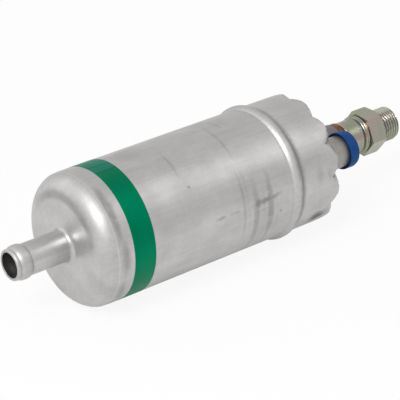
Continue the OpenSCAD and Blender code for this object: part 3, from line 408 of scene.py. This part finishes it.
for middle, half_length, turn, half_arc, darkness in MARKS_AND_SHADE:
    mark = use(tree, scuff, on_wall.outputs[0], middle=middle * MM, half_length=half_length * MM,
               turn=math.radians(turn), half_arc=math.radians(half_arc))
    marks_and_painted_shade = calc(tree, "MAXIMUM", marks_and_painted_shade, product(tree, mark["Mask"], darkness))
broken = use(tree, blotches, place_in, size=0.005, cover=0.58, softness=0.24)
marks_and_painted_shade = product(tree, marks_and_painted_shade, spread(tree, broken["Mask"], 0.0, 1.0, 0.55, 1.0))
pits = use(tree, blotches, place_in, size=0.0011, cover=0.3, softness=0.03)
tone = product(tree, drawn["Tone"], ringed["Tone"], grain["Tone"], cloudy["Tone"],
               spread(tree, pits["Mask"], 0.0, 1.0, 1.0, 0.93))
# Where the corner of the dome starts, a dull arc over the top is a painted dark reflection. Where the
# corner ends, a bright line all round is a painted highlight.
from_top = calc(tree, "ABSOLUTE", calc(tree, "SUBTRACT", around["Turn"], 1.5))
dark_reflection_arc = product(tree, spread(tree, around["Radius"], 19.4 * MM, 22.0 * MM),
                 spread(tree, around["Radius"], 25.4 * MM, 22.8 * MM),
                 spread(tree, around["Station"], -51.0 * MM, -52.5 * MM),
                 spread(tree, from_top, 1.35, 0.6, 0.0, 0.4))
marks_and_painted_shade = calc(tree, "MAXIMUM", marks_and_painted_shade, dark_reflection_arc)
body = tint(tree, marks_and_painted_shade, shade(tree, tone, (0.548, 0.540, 0.534)), (0.1, 0.095, 0.09))
CREASE_X, BEAD_ROUGH_X = -48.3, 49.6
from_crease = calc(tree, "ABSOLUTE", calc(tree, "ADD", around["Station"], -CREASE_X * MM))
# A painted highlight: a bright line runs all round the crease.
body = tint(tree, spread(tree, from_crease, 0.6 * MM, 0.1 * MM, 0.0, 0.28), body, (0.85, 0.85, 0.84))
# Painted shade darkens the bore and the rolled groove inside the hose bead, less so at the mouth.
bore_shade = product(
    tree, spread(tree, around["Radius"], (NIPPLE_BORE_R + 0.82) * MM, (NIPPLE_BORE_R + 0.75) * MM),
    spread(tree, around["Station"], DOME_X * MM, (DOME_X - 5) * MM),
    spread(tree, around["Station"], (MOUTH_X + 0.2) * MM, (MOUTH_X + 1.5) * MM, 0.25, 0.8))
feed(tree, shader["Base Color"], tint(tree, bore_shade, body, (0.11, 0.105, 0.1)))
# The drawn corner, the rolled bead and the hose bead are rougher than the wall.
from_bead = calc(tree, "ABSOLUTE", calc(tree, "ADD", around["Station"], -BEAD_ROUGH_X * MM))
at_beads = calc(tree, "MAXIMUM", spread(tree, from_bead, 3.8 * MM, 2.8 * MM),
                spread(tree, around["Station"], (HOSE_BEAD_X1 + 2) * MM, HOSE_BEAD_X1 * MM))
worked = calc(tree, "MAXIMUM", at_beads,
              product(tree, spread(tree, around["Station"], -GRIP_X * MM, -48.0 * MM),
                      spread(tree, around["Station"], -55.4 * MM, -53.5 * MM)))
feed(tree, shader["Roughness"],
     product(tree, grain["Tone"], spread(tree, cloudy["Tone"], 0.9, 1.1, 0.42, 0.34),
             spread(tree, worked, 0.0, 1.0, 0.96, 1.3)))
relief(tree, shader, calc(tree, "ADD", drawn["Height"], grain["Height"]), 0.00003)
dress(can, aluminium)
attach(can, "pump_body")
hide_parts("can")

# The colour band is a strip of green foil, glued once round the can near its inlet end. Its end
# laps over its start on top, where the doubled foil shows lighter.
BAND_X0, BAND_X1, _, BAND_OUT_R = extent("colour_band")
BAND_T = BAND_OUT_R - CAN_R
# The seam's turn is counted as the round group counts it, the lap's as direction does.
SEAM_TURN, SEAM_SLOPE = 87.0, 1.4
LAP_TURN, LAP_SWEEP, LAP_SLOPE = 175, 9, 0.12


def foil(inner_r):
    edge = 0.05
    outer_r = inner_r + BAND_T
    return [(BAND_X0, inner_r), (BAND_X0 + edge, outer_r), (BAND_X1 - edge, outer_r), (BAND_X1, inner_r)]


band = turned("colour_band_foil", foil(CAN_R), steps=192)
lap = turned("colour_band_lap", foil(BAND_OUT_R), steps=8, turn=LAP_TURN, sweep=LAP_SWEEP)
for vertex in lap.data.vertices:
    x, r, turn = polar(vertex)
    place(vertex, x, r, turn + LAP_SLOPE * (x - BAND_X0))
green, tree, shader, place_in = new_finish("green_foil", 1.0, 0.45)
around = use(tree, round_group, place_in)
seam = calc(tree, "ADD", math.radians(SEAM_TURN), product(tree, around["Station"], SEAM_SLOPE))
past_seam = calc(tree, "SUBTRACT", around["Turn"], seam)
streaky = use(tree, mottle, mapped(tree, place_in, AROUND), size=0.0018, contrast=0.2)
cloudy = use(tree, mottle, place_in, size=0.012, contrast=0.35)
tone = product(tree, streaky["Tone"], cloudy["Tone"])
body = tint(tree, spread(tree, past_seam, -0.004, 0.004), shade(tree, tone, (0.0, 0.215, 0.104)),
            shade(tree, tone, (0.006, 0.235, 0.15)))
seam_line = spread(tree, calc(tree, "ABSOLUTE", past_seam), 0.022, 0.004, 0.0, 0.4)
feed(tree, shader["Base Color"], tint(tree, seam_line, body, (0.0, 0.07, 0.035)))
feed(tree, shader["Roughness"], product(tree, streaky["Tone"], 0.45))
relief(tree, shader, streaky["Height"], 0.00002)
for piece in (band, lap):
    smooth(piece, 25)
    dress(piece, green)
    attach(piece, "pump_body")
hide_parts("colour_band")


# The pump stage is a strainer, then two hardened plates with the cam ring between them, clamped
# and pinned. The slotted rotor and its five rollers run inside. The relief valve is drilled
# through the stack.
def plain(name, colour, metallic, roughness, grain=(0.0005, 0.15), lines=None, stain=None,
          bump=0.00001):
    """A finish of one colour with its grain, tool lines and stains."""
    material, tree, shader, place_in = new_finish(name, metallic, roughness)
    speckle = use(tree, mottle, place_in, size=grain[0], contrast=grain[1])
    tone, height = speckle["Tone"], speckle["Height"]
    if lines:
        scale, size, contrast = lines
        cut = use(tree, mottle, mapped(tree, place_in, scale), size=size, contrast=contrast)
        tone, height = product(tree, tone, cut["Tone"]), cut["Height"]
    body = shade(tree, tone, colour)
    if stain:
        stain_colour, size, cover = stain
        patch = use(tree, blotches, place_in, size=size, cover=cover, softness=0.12)
        body = tint(tree, patch["Mask"], body, stain_colour)
    feed(tree, shader["Base Color"], body)
    feed(tree, shader["Roughness"], product(tree, tone, roughness))
    relief(tree, shader, height, bump)
    return material


def finish_nodes(material, *names):
    for name in names:
        dress(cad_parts[name], material)


def merged_copy(name, source):
    """A copy of a CAD node with its loose triangles merged; it stands for the node."""
    piece = bpy.data.objects.new(name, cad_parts[source].data.copy())
    piece.data.name = name
    bpy.context.scene.collection.objects.link(piece)
    bpy.ops.object.select_all(action="DESELECT")
    piece.select_set(True)
    bpy.context.view_layer.objects.active = piece
    bpy.ops.object.mode_set(mode="EDIT")
    bpy.ops.mesh.select_all(action="SELECT")
    bpy.ops.mesh.remove_doubles(threshold=2e-6)
    bpy.ops.object.mode_set(mode="OBJECT")
    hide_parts(source)
    return piece


def wound(source):
    """A coil spring copied from its CAD node, in drawn spring wire, carried by the pump body."""
    piece = merged_copy(source + "_coil", source)
    smooth(piece, 60)
    dress(piece, spring_steel)
    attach(piece, "pump_body")
    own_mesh(piece)


TURNED = (AROUND, 0.0011, 0.2)
nylon = plain("natural_nylon", (0.72, 0.68, 0.58), 0.0, 0.45, (0.0012, 0.08))
hardened = plain("ground_hardened_steel", (0.42, 0.42, 0.44), 1.0, 0.28, lines=(ALONG, 0.002, 0.2))
bright = plain("bright_steel", (0.6, 0.6, 0.61), 1.0, 0.2, lines=TURNED)
spring_steel = plain("drawn_spring_wire", (0.5, 0.5, 0.5), 1.0, 0.3, (0.0003, 0.2))
brass = plain("turned_brass", (0.62, 0.46, 0.17), 1.0, 0.27, lines=TURNED)
gauze, tree, shader, place_in = new_finish("woven_gauze", 0.0, 0.5)
GAUZE_PITCH = 0.0007
threads = []
for axis in "YZ":
    wave = node(tree, "TexWave", bands_direction=axis, Scale=math.tau / 20 / GAUZE_PITCH, Distortion=0.4)
    feed(tree, wave.inputs["Vector"], place_in)
    threads.append(wave.outputs[1])
weave = calc(tree, "MAXIMUM", *threads)
feed(tree, shader["Base Color"],
     tint(tree, spread(tree, weave, 0.35, 0.75), (0.05, 0.05, 0.05), (0.55, 0.55, 0.5)))
relief(tree, shader, weave, 0.0002)
finish_nodes(nylon, "strainer_frame")
finish_nodes(gauze, "strainer_gauze")
finish_nodes(hardened, "suction_plate", "cam_ring", "discharge_plate")
finish_nodes(bright, "pump_rotor", "stage_dowels", "relief_ball", *[f"roller_{i}" for i in range(1, 6)])
wound("relief_spring")
finish_nodes(brass, "relief_plug")

# The motor runs in the fuel: its shaft, wound core and commutator turn in three sintered bushes,
# inside two ferrite magnets that are glued into a rolled flux ring.
bronze = plain("sintered_bronze", (0.42, 0.25, 0.13), 0.9, 0.5, (0.0003, 0.5), bump=0.00004)
laminations = plain("stacked_laminations", (0.3, 0.3, 0.31), 0.9, 0.42,
                    lines=((1, 0.001, 0.001), 0.0005, 0.6), bump=0.00008)
fibre = plain("red_insulating_fibre", (0.3, 0.035, 0.02), 0.0, 0.6, (0.0006, 0.3))
enamel = plain("enamelled_copper_wire", (0.36, 0.11, 0.03), 0.75, 0.3, (0.0005, 0.3),
               lines=(ALONG, 0.0007, 0.5), bump=0.0001)
bare_copper = plain("bare_copper", (0.63, 0.3, 0.19), 1.0, 0.28, lines=TURNED,
                    stain=((0.2, 0.08, 0.04), 0.004, 0.35))
phenolic = plain("moulded_phenolic", (0.1, 0.04, 0.02), 0.0, 0.4, (0.0009, 0.35))
ferrite = plain("ferrite", (0.05, 0.05, 0.055), 0.1, 0.55, (0.0007, 0.35), bump=0.00003)
rolled = plain("rolled_plated_steel", (0.5, 0.5, 0.5), 1.0, 0.35, lines=(ALONG, 0.0011, 0.15))
finish_nodes(bronze, "front_bush", "middle_bush", "rear_bush")
finish_nodes(rolled, "bearing_bracket", "flux_ring", "magnet_clips")
finish_nodes(bright, "armature_shaft")
finish_nodes(laminations, "armature_core")
finish_nodes(fibre, "core_insulators")
finish_nodes(enamel, "windings")
finish_nodes(bare_copper, "commutator_segments")
finish_nodes(phenolic, "commutator_hub", "drive_dog")
finish_nodes(nylon, "thrust_washers")
finish_nodes(ferrite, "magnet_upper", "magnet_lower")

# The brush gear is a moulded holder with two brass guides. Springs press the carbon brushes on
# the commutator, and two wound chokes and short wires join them to the terminals.
holder_black = plain("moulded_black_nylon", (0.02, 0.02, 0.022), 0.0, 0.38, (0.0008, 0.3))
carbon = plain("pressed_carbon", (0.03, 0.03, 0.032), 0.35, 0.5, (0.0003, 0.6), bump=0.00003)
finish_nodes(holder_black, "brush_holder")
finish_nodes(brass, "brush_guides")
finish_nodes(carbon, "brush_a", "brush_b")
wound("brush_spring_a")
wound("brush_spring_b")
finish_nodes(enamel, "suppression_chokes")
finish_nodes(bare_copper, "terminal_leads")


# The end cap is die-cast aluminium. It closes the can under the crimped rim, with the outlet boss
# in the middle and a turret for each terminal. Its edges are rounded by the casting.
def softened(name, source, width, segments=2):
    """A merged copy of a CAD node with its sharp edges bevelled."""
    piece = merged_copy(name, source)
    bpy.ops.object.mode_set(mode="EDIT")
    bpy.ops.mesh.select_all(action="SELECT")
    bpy.ops.mesh.dissolve_limited(angle_limit=math.radians(1))
    bpy.ops.object.mode_set(mode="OBJECT")
    bevel = piece.modifiers.new("edges", "BEVEL")
    bevel.limit_method = "ANGLE"
    bevel.angle_limit = math.radians(40)
    bevel.width = width * MM
    bevel.segments = segments
    bevel.use_clamp_overlap = True
    bpy.ops.object.modifier_apply(modifier="edges")
    smooth(piece, 30)
    return piece


WASHER_X0, WASHER_X1, _, WASHER_R = extent("copper_washer")
BOSS_R = 9.0
cast, tree, shader, place_in = new_finish("cast_aluminium", 0.85, 0.42)
grain = use(tree, mottle, place_in, size=0.0006, contrast=0.3)
cloudy = use(tree, mottle, place_in, size=0.005, contrast=0.55)
around = use(tree, round_group, place_in)
tone = product(tree, grain["Tone"], cloudy["Tone"])
on_boss = spread(tree, around["Radius"], (BOSS_R + 0.4) * MM, (BOSS_R + 0.1) * MM)
yellowed = use(tree, blotches, place_in, size=0.007, cover=0.45, softness=0.3)
bare = tint(tree, yellowed["Mask"], (0.37, 0.38, 0.395), (0.4, 0.37, 0.31))
body = tint(tree, on_boss, tint(tree, 1.0, bare, shade(tree, tone, (1, 1, 1)), "MULTIPLY"),
            shade(tree, tone, (0.235, 0.212, 0.218)))
# The end of the boss next to the washer is browned with a painted reflection of the copper washer.
copper_reflection = product(
    tree, on_boss, spread(tree, around["Station"], (WASHER_X0 - 2.6) * MM, (WASHER_X0 - 1.5) * MM))
feed(tree, shader["Base Color"], tint(tree, copper_reflection, body, (0.16, 0.07, 0.035)))
feed(tree, shader["Roughness"], product(tree, grain["Tone"], 0.42))
relief(tree, shader, grain["Height"], 0.00004)
rubber = plain("seal_rubber", (0.012, 0.012, 0.012), 0.0, 0.55, (0.0006, 0.4))
cap = softened("end_cap_casting", "end_cap", 0.3)
dress(cap, cast)
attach(cap, "pump_body")
finish_nodes(rubber, "end_cap_seal")

# The terminals are threaded studs in moulded insulators, with a washer and a hexagon nut on each.
# The positive one is larger and has a pushed-on blue cover; the negative one stands bare.
COVER_X0, COVER_X1, POSITIVE, COVER_R = extent("terminal_cover")
HEAD_X0, STUD_END_X, NEGATIVE, HEAD_R = extent("negative_stud")
STUD_R, STUD_CORE_R, STUD_PITCH = 2.0, 1.6, 0.7
STUD_FREE_L, HEAD_T = 7.9, 1.2
THREAD_ROWS = 12


def cut_thread(piece, radius, pitch, x0, x1, chamfer, at=(0.0, 0.0)):
    """Sinks a helical groove of that pitch into a turned surface between two stations."""
    depth = 0.52 * pitch
    crest_share, flank_share = 0.07, 0.36
    for vertex in piece.data.vertices:
        x, r, turn = polar(vertex, at)
        if r < radius - 0.02 * pitch or not x0 - 1e-4 <= x <= x1 + 1e-4:
            continue
        phase = ((x - x0) / pitch - turn / 360) % 1
        from_crest = 0.5 - abs(phase - 0.5)
        sunk = depth * min(1.0, max(0.0, (from_crest - crest_share) / flank_share))
        from_end = min(x - x0, x1 - x)
        ease = 1.05 * depth * max(0.0, 1 - from_end / chamfer)
        place(vertex, x, radius - max(sunk, ease), turn, at)


zinc = plain("bright_zinc_plate", (0.5, 0.51, 0.52), 1.0, 0.25, (0.0005, 0.15),
             stain=((0.4, 0.41, 0.45), 0.003, 0.4))
THREAD_X0 = STUD_END_X - STUD_FREE_L
negative = turned(
    "negative_stud_thread",
    [(HEAD_X0 + HEAD_T, 0), (HEAD_X0 + HEAD_T, STUD_CORE_R), (THREAD_X0, STUD_CORE_R), (THREAD_X0, STUD_R)]
    + line(THREAD_X0, STUD_END_X, STUD_R, STUD_PITCH / THREAD_ROWS)
    + [(STUD_END_X, STUD_R), (STUD_END_X, 0)],
    steps=48, at=NEGATIVE)
cut_thread(negative, STUD_R, STUD_PITCH, THREAD_X0, STUD_END_X, 0.5, NEGATIVE)
smooth(negative, 40)
negative_head = turned(
    "negative_stud_head",
    [(HEAD_X0, 0), (HEAD_X0, HEAD_R - 0.2), (HEAD_X0 + 0.2, HEAD_R), (HEAD_X0 + HEAD_T, HEAD_R),
     (HEAD_X0 + HEAD_T, 0)],
    steps=48, at=NEGATIVE)
smooth(negative_head, 30)
for piece in (negative, negative_head):
    dress(piece, zinc)
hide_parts("negative_stud")
fittings = [negative, negative_head]
for name, source, width, material in (
    ("negative_nut_plated", "negative_nut", 0.12, zinc),
    ("terminal_washers_plated", "terminal_washers", 0.12, zinc),
    ("positive_stud_brass", "positive_stud", 0.25, brass),
    ("positive_nut_brass", "positive_nut", 0.15, brass),
):
    piece = softened(name, source, width)
    dress(piece, material)
    fittings.append(piece)
for piece in fittings:
    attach(piece, "pump_body")
finish_nodes(nylon, "terminal_insulator")

# The terminal cover is a thimble of soft blue plastic, moulded with a narrower end and a lead-in
# inside its mouth, and pushed over the positive turret.
COVER_WALL, COVER_TOP, COVER_STEP, COVER_END_L = 1.25, 1.0, 0.3, 1.2
COVER_END_X, COVER_END_R = COVER_X1 - COVER_END_L, COVER_R - COVER_STEP
COVER_BORE_R = COVER_R - COVER_WALL
cover = turned(
    "terminal_cover_moulding",
    [(COVER_X0, COVER_R - 0.15), (COVER_X0 + 0.2, COVER_R)]
    + line(COVER_X0 + 0.2, COVER_END_X - 0.3, COVER_R, 1.2)
    + arc(COVER_END_X - 0.2, COVER_R - 0.2, 0.2, 90, 20, 3)
    + [(COVER_END_X + 0.1, COVER_END_R)]
    + arc(COVER_X1 - 0.6, COVER_END_R - 0.6, 0.6, 90, 0, 5)
    + [(COVER_X1, 4.0), (COVER_X1 - 0.15, 3.6), (COVER_X1 - 0.15, 0), (COVER_X1 - COVER_TOP, 0),
       (COVER_X1 - COVER_TOP, COVER_BORE_R - 0.4), (COVER_X1 - COVER_TOP - 0.4, COVER_BORE_R),
       (COVER_X0 + 0.5, COVER_BORE_R), (COVER_X0, COVER_BORE_R + 0.15)],
    steps=96, at=POSITIVE)
smooth(cover, 30)
blue, tree, shader, place_in = new_finish("blue_moulded_plastic", 0.0, 0.5)
speckle = use(tree, mottle, place_in, size=0.0008, contrast=0.3)
cloudy = use(tree, mottle, place_in, size=0.004, contrast=1.1)
around = use(tree, round_group, mapped(tree, place_in, location=(0, -POSITIVE[0] * MM, -POSITIVE[1] * MM)))
tone = product(tree, speckle["Tone"], cloudy["Tone"])
# The edge of the cover's mouth is darkened with painted shade.
mouth_shade = product(tree, spread(tree, around["Station"], (COVER_X0 + 0.3) * MM, (COVER_X0 + 0.1) * MM),
                   spread(tree, around["Radius"], (COVER_R - 0.02) * MM, (COVER_R - 0.2) * MM))
# The narrower end is blended towards a darker blue, a painted shade.
end_shade = spread(tree, around["Station"], (COVER_END_X - 0.1) * MM, (COVER_END_X + 0.2) * MM, 0.0, 0.45)
body = tint(tree, end_shade, shade(tree, tone, (0.002, 0.05, 0.2)), shade(tree, tone, (0.002, 0.029, 0.115)))
feed(tree, shader["Base Color"], tint(tree, mouth_shade, body, (0.003, 0.014, 0.07)))
feed(tree, shader["Roughness"], product(tree, speckle["Tone"], 0.5))
shader["Specular IOR Level"].default_value = 0.2
relief(tree, shader, speckle["Height"], 0.00004)
dress(cover, blue)
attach(cover, "terminal_cover")
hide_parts("terminal_cover")

# The sealing washer is a soft copper ring, crushed between the boss and the valve's shank, so its
# edges are round.
WASHER_BORE_R, WASHER_EDGE_R = 6.05, 0.4
washer = turned(
    "copper_washer_ring",
    [(WASHER_X0, WASHER_BORE_R)]
    + arc(WASHER_X0 + WASHER_EDGE_R, WASHER_R - WASHER_EDGE_R, WASHER_EDGE_R, 180, 90, 4)
    + arc(WASHER_X1 - WASHER_EDGE_R, WASHER_R - WASHER_EDGE_R, WASHER_EDGE_R, 90, 0, 4)
    + [(WASHER_X1, WASHER_BORE_R)],
    steps=96)
smooth(washer, 35)
copper = plain("copper", (0.42, 0.15, 0.05), 0.85, 0.33, (0.0005, 0.3),
               stain=((0.16, 0.055, 0.02), 0.003, 0.45))
dress(washer, copper)
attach(washer, "pump_body")
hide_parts("copper_washer")

# The outlet valve is turned from hexagon bar and plated in yellow zinc: a spigot in the boss, a
# shank with two ridges, the hexagon and an M16 x 1.5 thread. A seat, poppet and spring inside it
# stop the return flow.
SPIGOT_X, OUTLET_X, _, _ = extent("valve_body")
SPIGOT_R, SHANK_R, FOOT_L, FOOT_H = 6.0, 8.2, 2.4, 0.4
THREAD_R, THREAD_L, PITCH = 8.0, 10.4, 1.5
HEX_L, HEX_FLAT_R, HEX_TURN = 9.2, 9.5, 34.0
RIDGE_L, SMALL_RIDGE_R, RIDGE_R = 4.6, 8.5, 9.1
THREAD_X = OUTLET_X - THREAD_L
HEX_X = THREAD_X - HEX_L
RIDGE_X = HEX_X - RIDGE_L
GROOVE_X = RIDGE_X + 1.65
HEX_CORNER_R = HEX_FLAT_R / math.cos(math.radians(30))
OUTLET_BORE_R, CHAMBER_R, CHAMBER_END_X = 3.5, 4.6, RIDGE_X + 2
edge_rows = (0.001, 0.12, 0.25, 0.4, 0.6, 0.8, 1.0)
valve = turned(
    "valve_body_turned",
    [(SPIGOT_X, CHAMBER_R), (SPIGOT_X, SPIGOT_R - 0.4), (SPIGOT_X + 0.4, SPIGOT_R), (WASHER_X1, SPIGOT_R),
     (WASHER_X1, SHANK_R + FOOT_H - 0.15), (WASHER_X1 + 0.15, SHANK_R + FOOT_H)]
    + [(WASHER_X1 + FOOT_L * share, SHANK_R + FOOT_H * (1 - share) ** 1.6)
       for share in (0.25, 0.5, 0.75, 1.0)]
    + line(WASHER_X1 + FOOT_L, RIDGE_X - 0.3, SHANK_R, 1.5)
    + [(RIDGE_X - 0.3, SHANK_R), (RIDGE_X - 0.05, SHANK_R + 0.1)]
    + swell(RIDGE_X, RIDGE_X + 1.3, SHANK_R + 0.1, SMALL_RIDGE_R - SHANK_R - 0.1, 2.2, 8)
    + [(RIDGE_X + 1.5, SHANK_R - 0.05), (RIDGE_X + 1.8, SHANK_R - 0.05)]
    + [(RIDGE_X + 2.0, SHANK_R + 0.4)]
    + swell(RIDGE_X + 2.0, RIDGE_X + 3.35, RIDGE_R - 0.35, 0.35, 2.2, 8)
    + [(RIDGE_X + 3.45, RIDGE_R - 0.3)]
    + swell(RIDGE_X + 3.5, RIDGE_X + 4.3, RIDGE_R - 0.3, 0.22, 2.0, 6)
    + [(RIDGE_X + 4.35, RIDGE_R - 0.55), (HEX_X, RIDGE_R - 0.55)]
    + [(HEX_X + row, HEX_CORNER_R) for row in edge_rows]
    + line(HEX_X + 1.0, THREAD_X - 1.0, HEX_CORNER_R, 2.5)
    + [(THREAD_X - row, HEX_CORNER_R) for row in reversed(edge_rows)]
    + [(THREAD_X, THREAD_R - 0.85)]
    + line(THREAD_X, OUTLET_X, THREAD_R, PITCH / THREAD_ROWS)
    + [(OUTLET_X, THREAD_R - 1.0), (OUTLET_X, OUTLET_BORE_R + 0.4), (OUTLET_X - 0.4, OUTLET_BORE_R),
       (CHAMBER_END_X, OUTLET_BORE_R), (CHAMBER_END_X, CHAMBER_R)],
    steps=144, turn=HEX_TURN)
for vertex in valve.data.vertices:
    x, r, turn = polar(vertex)
    if HEX_X < x < THREAD_X and r > HEX_FLAT_R:
        off_flat = (turn - HEX_TURN) % 60 - 30
        flat = HEX_FLAT_R / math.cos(math.radians(off_flat))
        inlet_edge = HEX_CORNER_R - 0.12 + (x - HEX_X)
        outlet_cone = HEX_FLAT_R - 0.25 + (THREAD_X - x) * 1.7
        place(vertex, x, min(flat, inlet_edge, outlet_cone), turn)
cut_thread(valve, THREAD_R, PITCH, THREAD_X, OUTLET_X, 0.8)
smooth(valve, 32)
yellow_zinc, tree, shader, place_in = new_finish("yellow_zinc_plate", 1.0, 0.24)
film = node(tree, "TexNoise", Scale=170.0, Detail=3.0, Distortion=0.6)
feed(tree, film.inputs["Vector"], mapped(tree, place_in, (0.5, 1, 1)))
hues = node(tree, "ValToRGB")
ramp = hues.color_ramp
ramp.elements[0].position, ramp.elements[0].color = 0.3, (0.25, 0.36, 0.33, 1)
ramp.elements[1].position, ramp.elements[1].color = 0.7, (0.42, 0.32, 0.33, 1)
for position, colour in ((0.42, (0.36, 0.38, 0.26, 1)), (0.52, (0.36, 0.36, 0.33, 1)),
                         (0.61, (0.42, 0.35, 0.28, 1))):
    ramp.elements.new(position).color = colour
feed(tree, hues.inputs[0], film.outputs[0])
speckle = use(tree, mottle, place_in, size=0.0004, contrast=0.3)
lines = use(tree, mottle, mapped(tree, place_in, AROUND), size=0.0009, contrast=0.25)
around = use(tree, round_group, place_in)
# Painted shade darkens the groove between the two ridges and the root of the thread.
groove_shade = product(
    tree, spread(tree, around["Radius"], (SHANK_R + 0.2) * MM, SHANK_R * MM),
    spread(tree, calc(tree, "ABSOLUTE", calc(tree, "SUBTRACT", around["Station"], GROOVE_X * MM)),
           0.0006, 0.0003))
root_shade = product(tree, spread(tree, around["Radius"], (THREAD_R - 0.15) * MM, (THREAD_R - 0.6) * MM),
                  spread(tree, around["Station"], (THREAD_X - 0.1) * MM, THREAD_X * MM))
tone = product(tree, speckle["Tone"], lines["Tone"], spread(tree, groove_shade, 0.0, 1.0, 1.0, 0.85),
               spread(tree, root_shade, 0.0, 1.0, 1.0, 0.72),
               spread(tree, around["Station"], (HEX_X - 0.2) * MM, HEX_X * MM, 1.0, 1.12))
grey = node(tree, "CombineXYZ")
for socket in grey.inputs:
    feed(tree, socket, tone)
feed(tree, shader["Base Color"], tint(tree, 1.0, hues.outputs[0], grey.outputs[0], "MULTIPLY"))
feed(tree, shader["Roughness"], product(tree, speckle["Tone"], 0.24))
relief(tree, shader, speckle["Height"], 0.00002)
dress(valve, yellow_zinc)
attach(valve, "pump_body")
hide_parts("valve_body")
finish_nodes(brass, "valve_seat")
finish_nodes(bright, "valve_poppet")
finish_nodes(rubber, "valve_seal")
wound("valve_spring")

# The floor is a plain white table that the pump lies on with its bead. Three soft boxes and a white
# room light it, and the camera looks down on its inlet end.
FLOOR_GAP = 0.1
FLOOR_Z = cad_box[0][2] - FLOOR_GAP * MM
bpy.ops.object.select_all(action="DESELECT")
bpy.ops.mesh.primitive_plane_add(size=8, location=(0, 0, FLOOR_Z))
floor = bpy.context.active_object
floor.name = "floor"


def white_to_view(tree, lit, to_camera, to_metal):
    """Shows a shader as plain white, by so much to the camera and so much in metal and glass."""
    white = node(tree, "Emission", Color=(1, 1, 1, 1), Strength=1.0)
    rays = node(tree, "LightPath")
    mirrored = calc(tree, "MAXIMUM", rays.outputs["Is Glossy Ray"], rays.outputs["Is Transmission Ray"])
    seen = calc(tree, "MAXIMUM", product(tree, rays.outputs["Is Camera Ray"], to_camera),
                product(tree, mirrored, to_metal))
    blend = node(tree, "MixShader")
    feed(tree, blend.inputs[0], seen)
    feed(tree, blend.inputs[1], lit.outputs[0])
    feed(tree, blend.inputs[2], white.outputs[0])
    return blend.outputs[0]


table_top = bpy.data.materials.new("table_top")
table_top.use_nodes = True
tree = table_top.node_tree
tree.nodes.clear()
matt = node(tree, "BsdfDiffuse", Color=(0.86, 0.86, 0.86, 1))
feed(tree, node(tree, "OutputMaterial").inputs["Surface"], white_to_view(tree, matt, 0.9, 0.3))
floor.data.materials.append(table_top)

world = bpy.data.worlds.new("studio")
bpy.context.scene.world = world
world.use_nodes = True
tree = world.node_tree
tree.nodes.clear()
room = node(tree, "Background", Color=(1, 1, 1, 1), Strength=0.6)
feed(tree, node(tree, "OutputWorld").inputs["Surface"], white_to_view(tree, room, 1.0, 0.3))


def soft_box(name, toward, distance, size, power):
    """A square area light that faces the pump from a direction."""
    data = bpy.data.lights.new(name, "AREA")
    data.shape, data.size, data.energy = "SQUARE", size, power
    lamp = bpy.data.objects.new(name, data)
    bpy.context.scene.collection.objects.link(lamp)
    length = math.sqrt(sum(c * c for c in toward))
    lamp.location = [c / length * distance for c in toward]
    lamp.rotation_mode = "QUATERNION"
    lamp.rotation_quaternion = lamp.location.to_track_quat("Z", "Y")


soft_box("key", (-0.60, -0.32, 0.73), 1.3, 0.5, 9)
soft_box("fill", (0.55, -0.42, 0.72), 1.5, 0.8, 1.2)
soft_box("back", (-0.5, 0.7, 0.5), 1.5, 1.2, 2.4)

lens = bpy.data.cameras.new("camera")
lens.lens, lens.sensor_width = 177.5, 36
lens.clip_start, lens.clip_end = 0.05, 50
camera = bpy.data.objects.new("camera", lens)
bpy.context.scene.collection.objects.link(camera)
camera.location = (-0.4652, -0.5981, 0.4069)
target = (0.011554, -0.008129, 0.002350)
camera.rotation_mode = "QUATERNION"
camera.rotation_quaternion = (camera.location - type(camera.location)(target)).to_track_quat("Z", "Y")
bpy.context.scene.camera = camera
bpy.context.scene.view_settings.view_transform = "Standard"
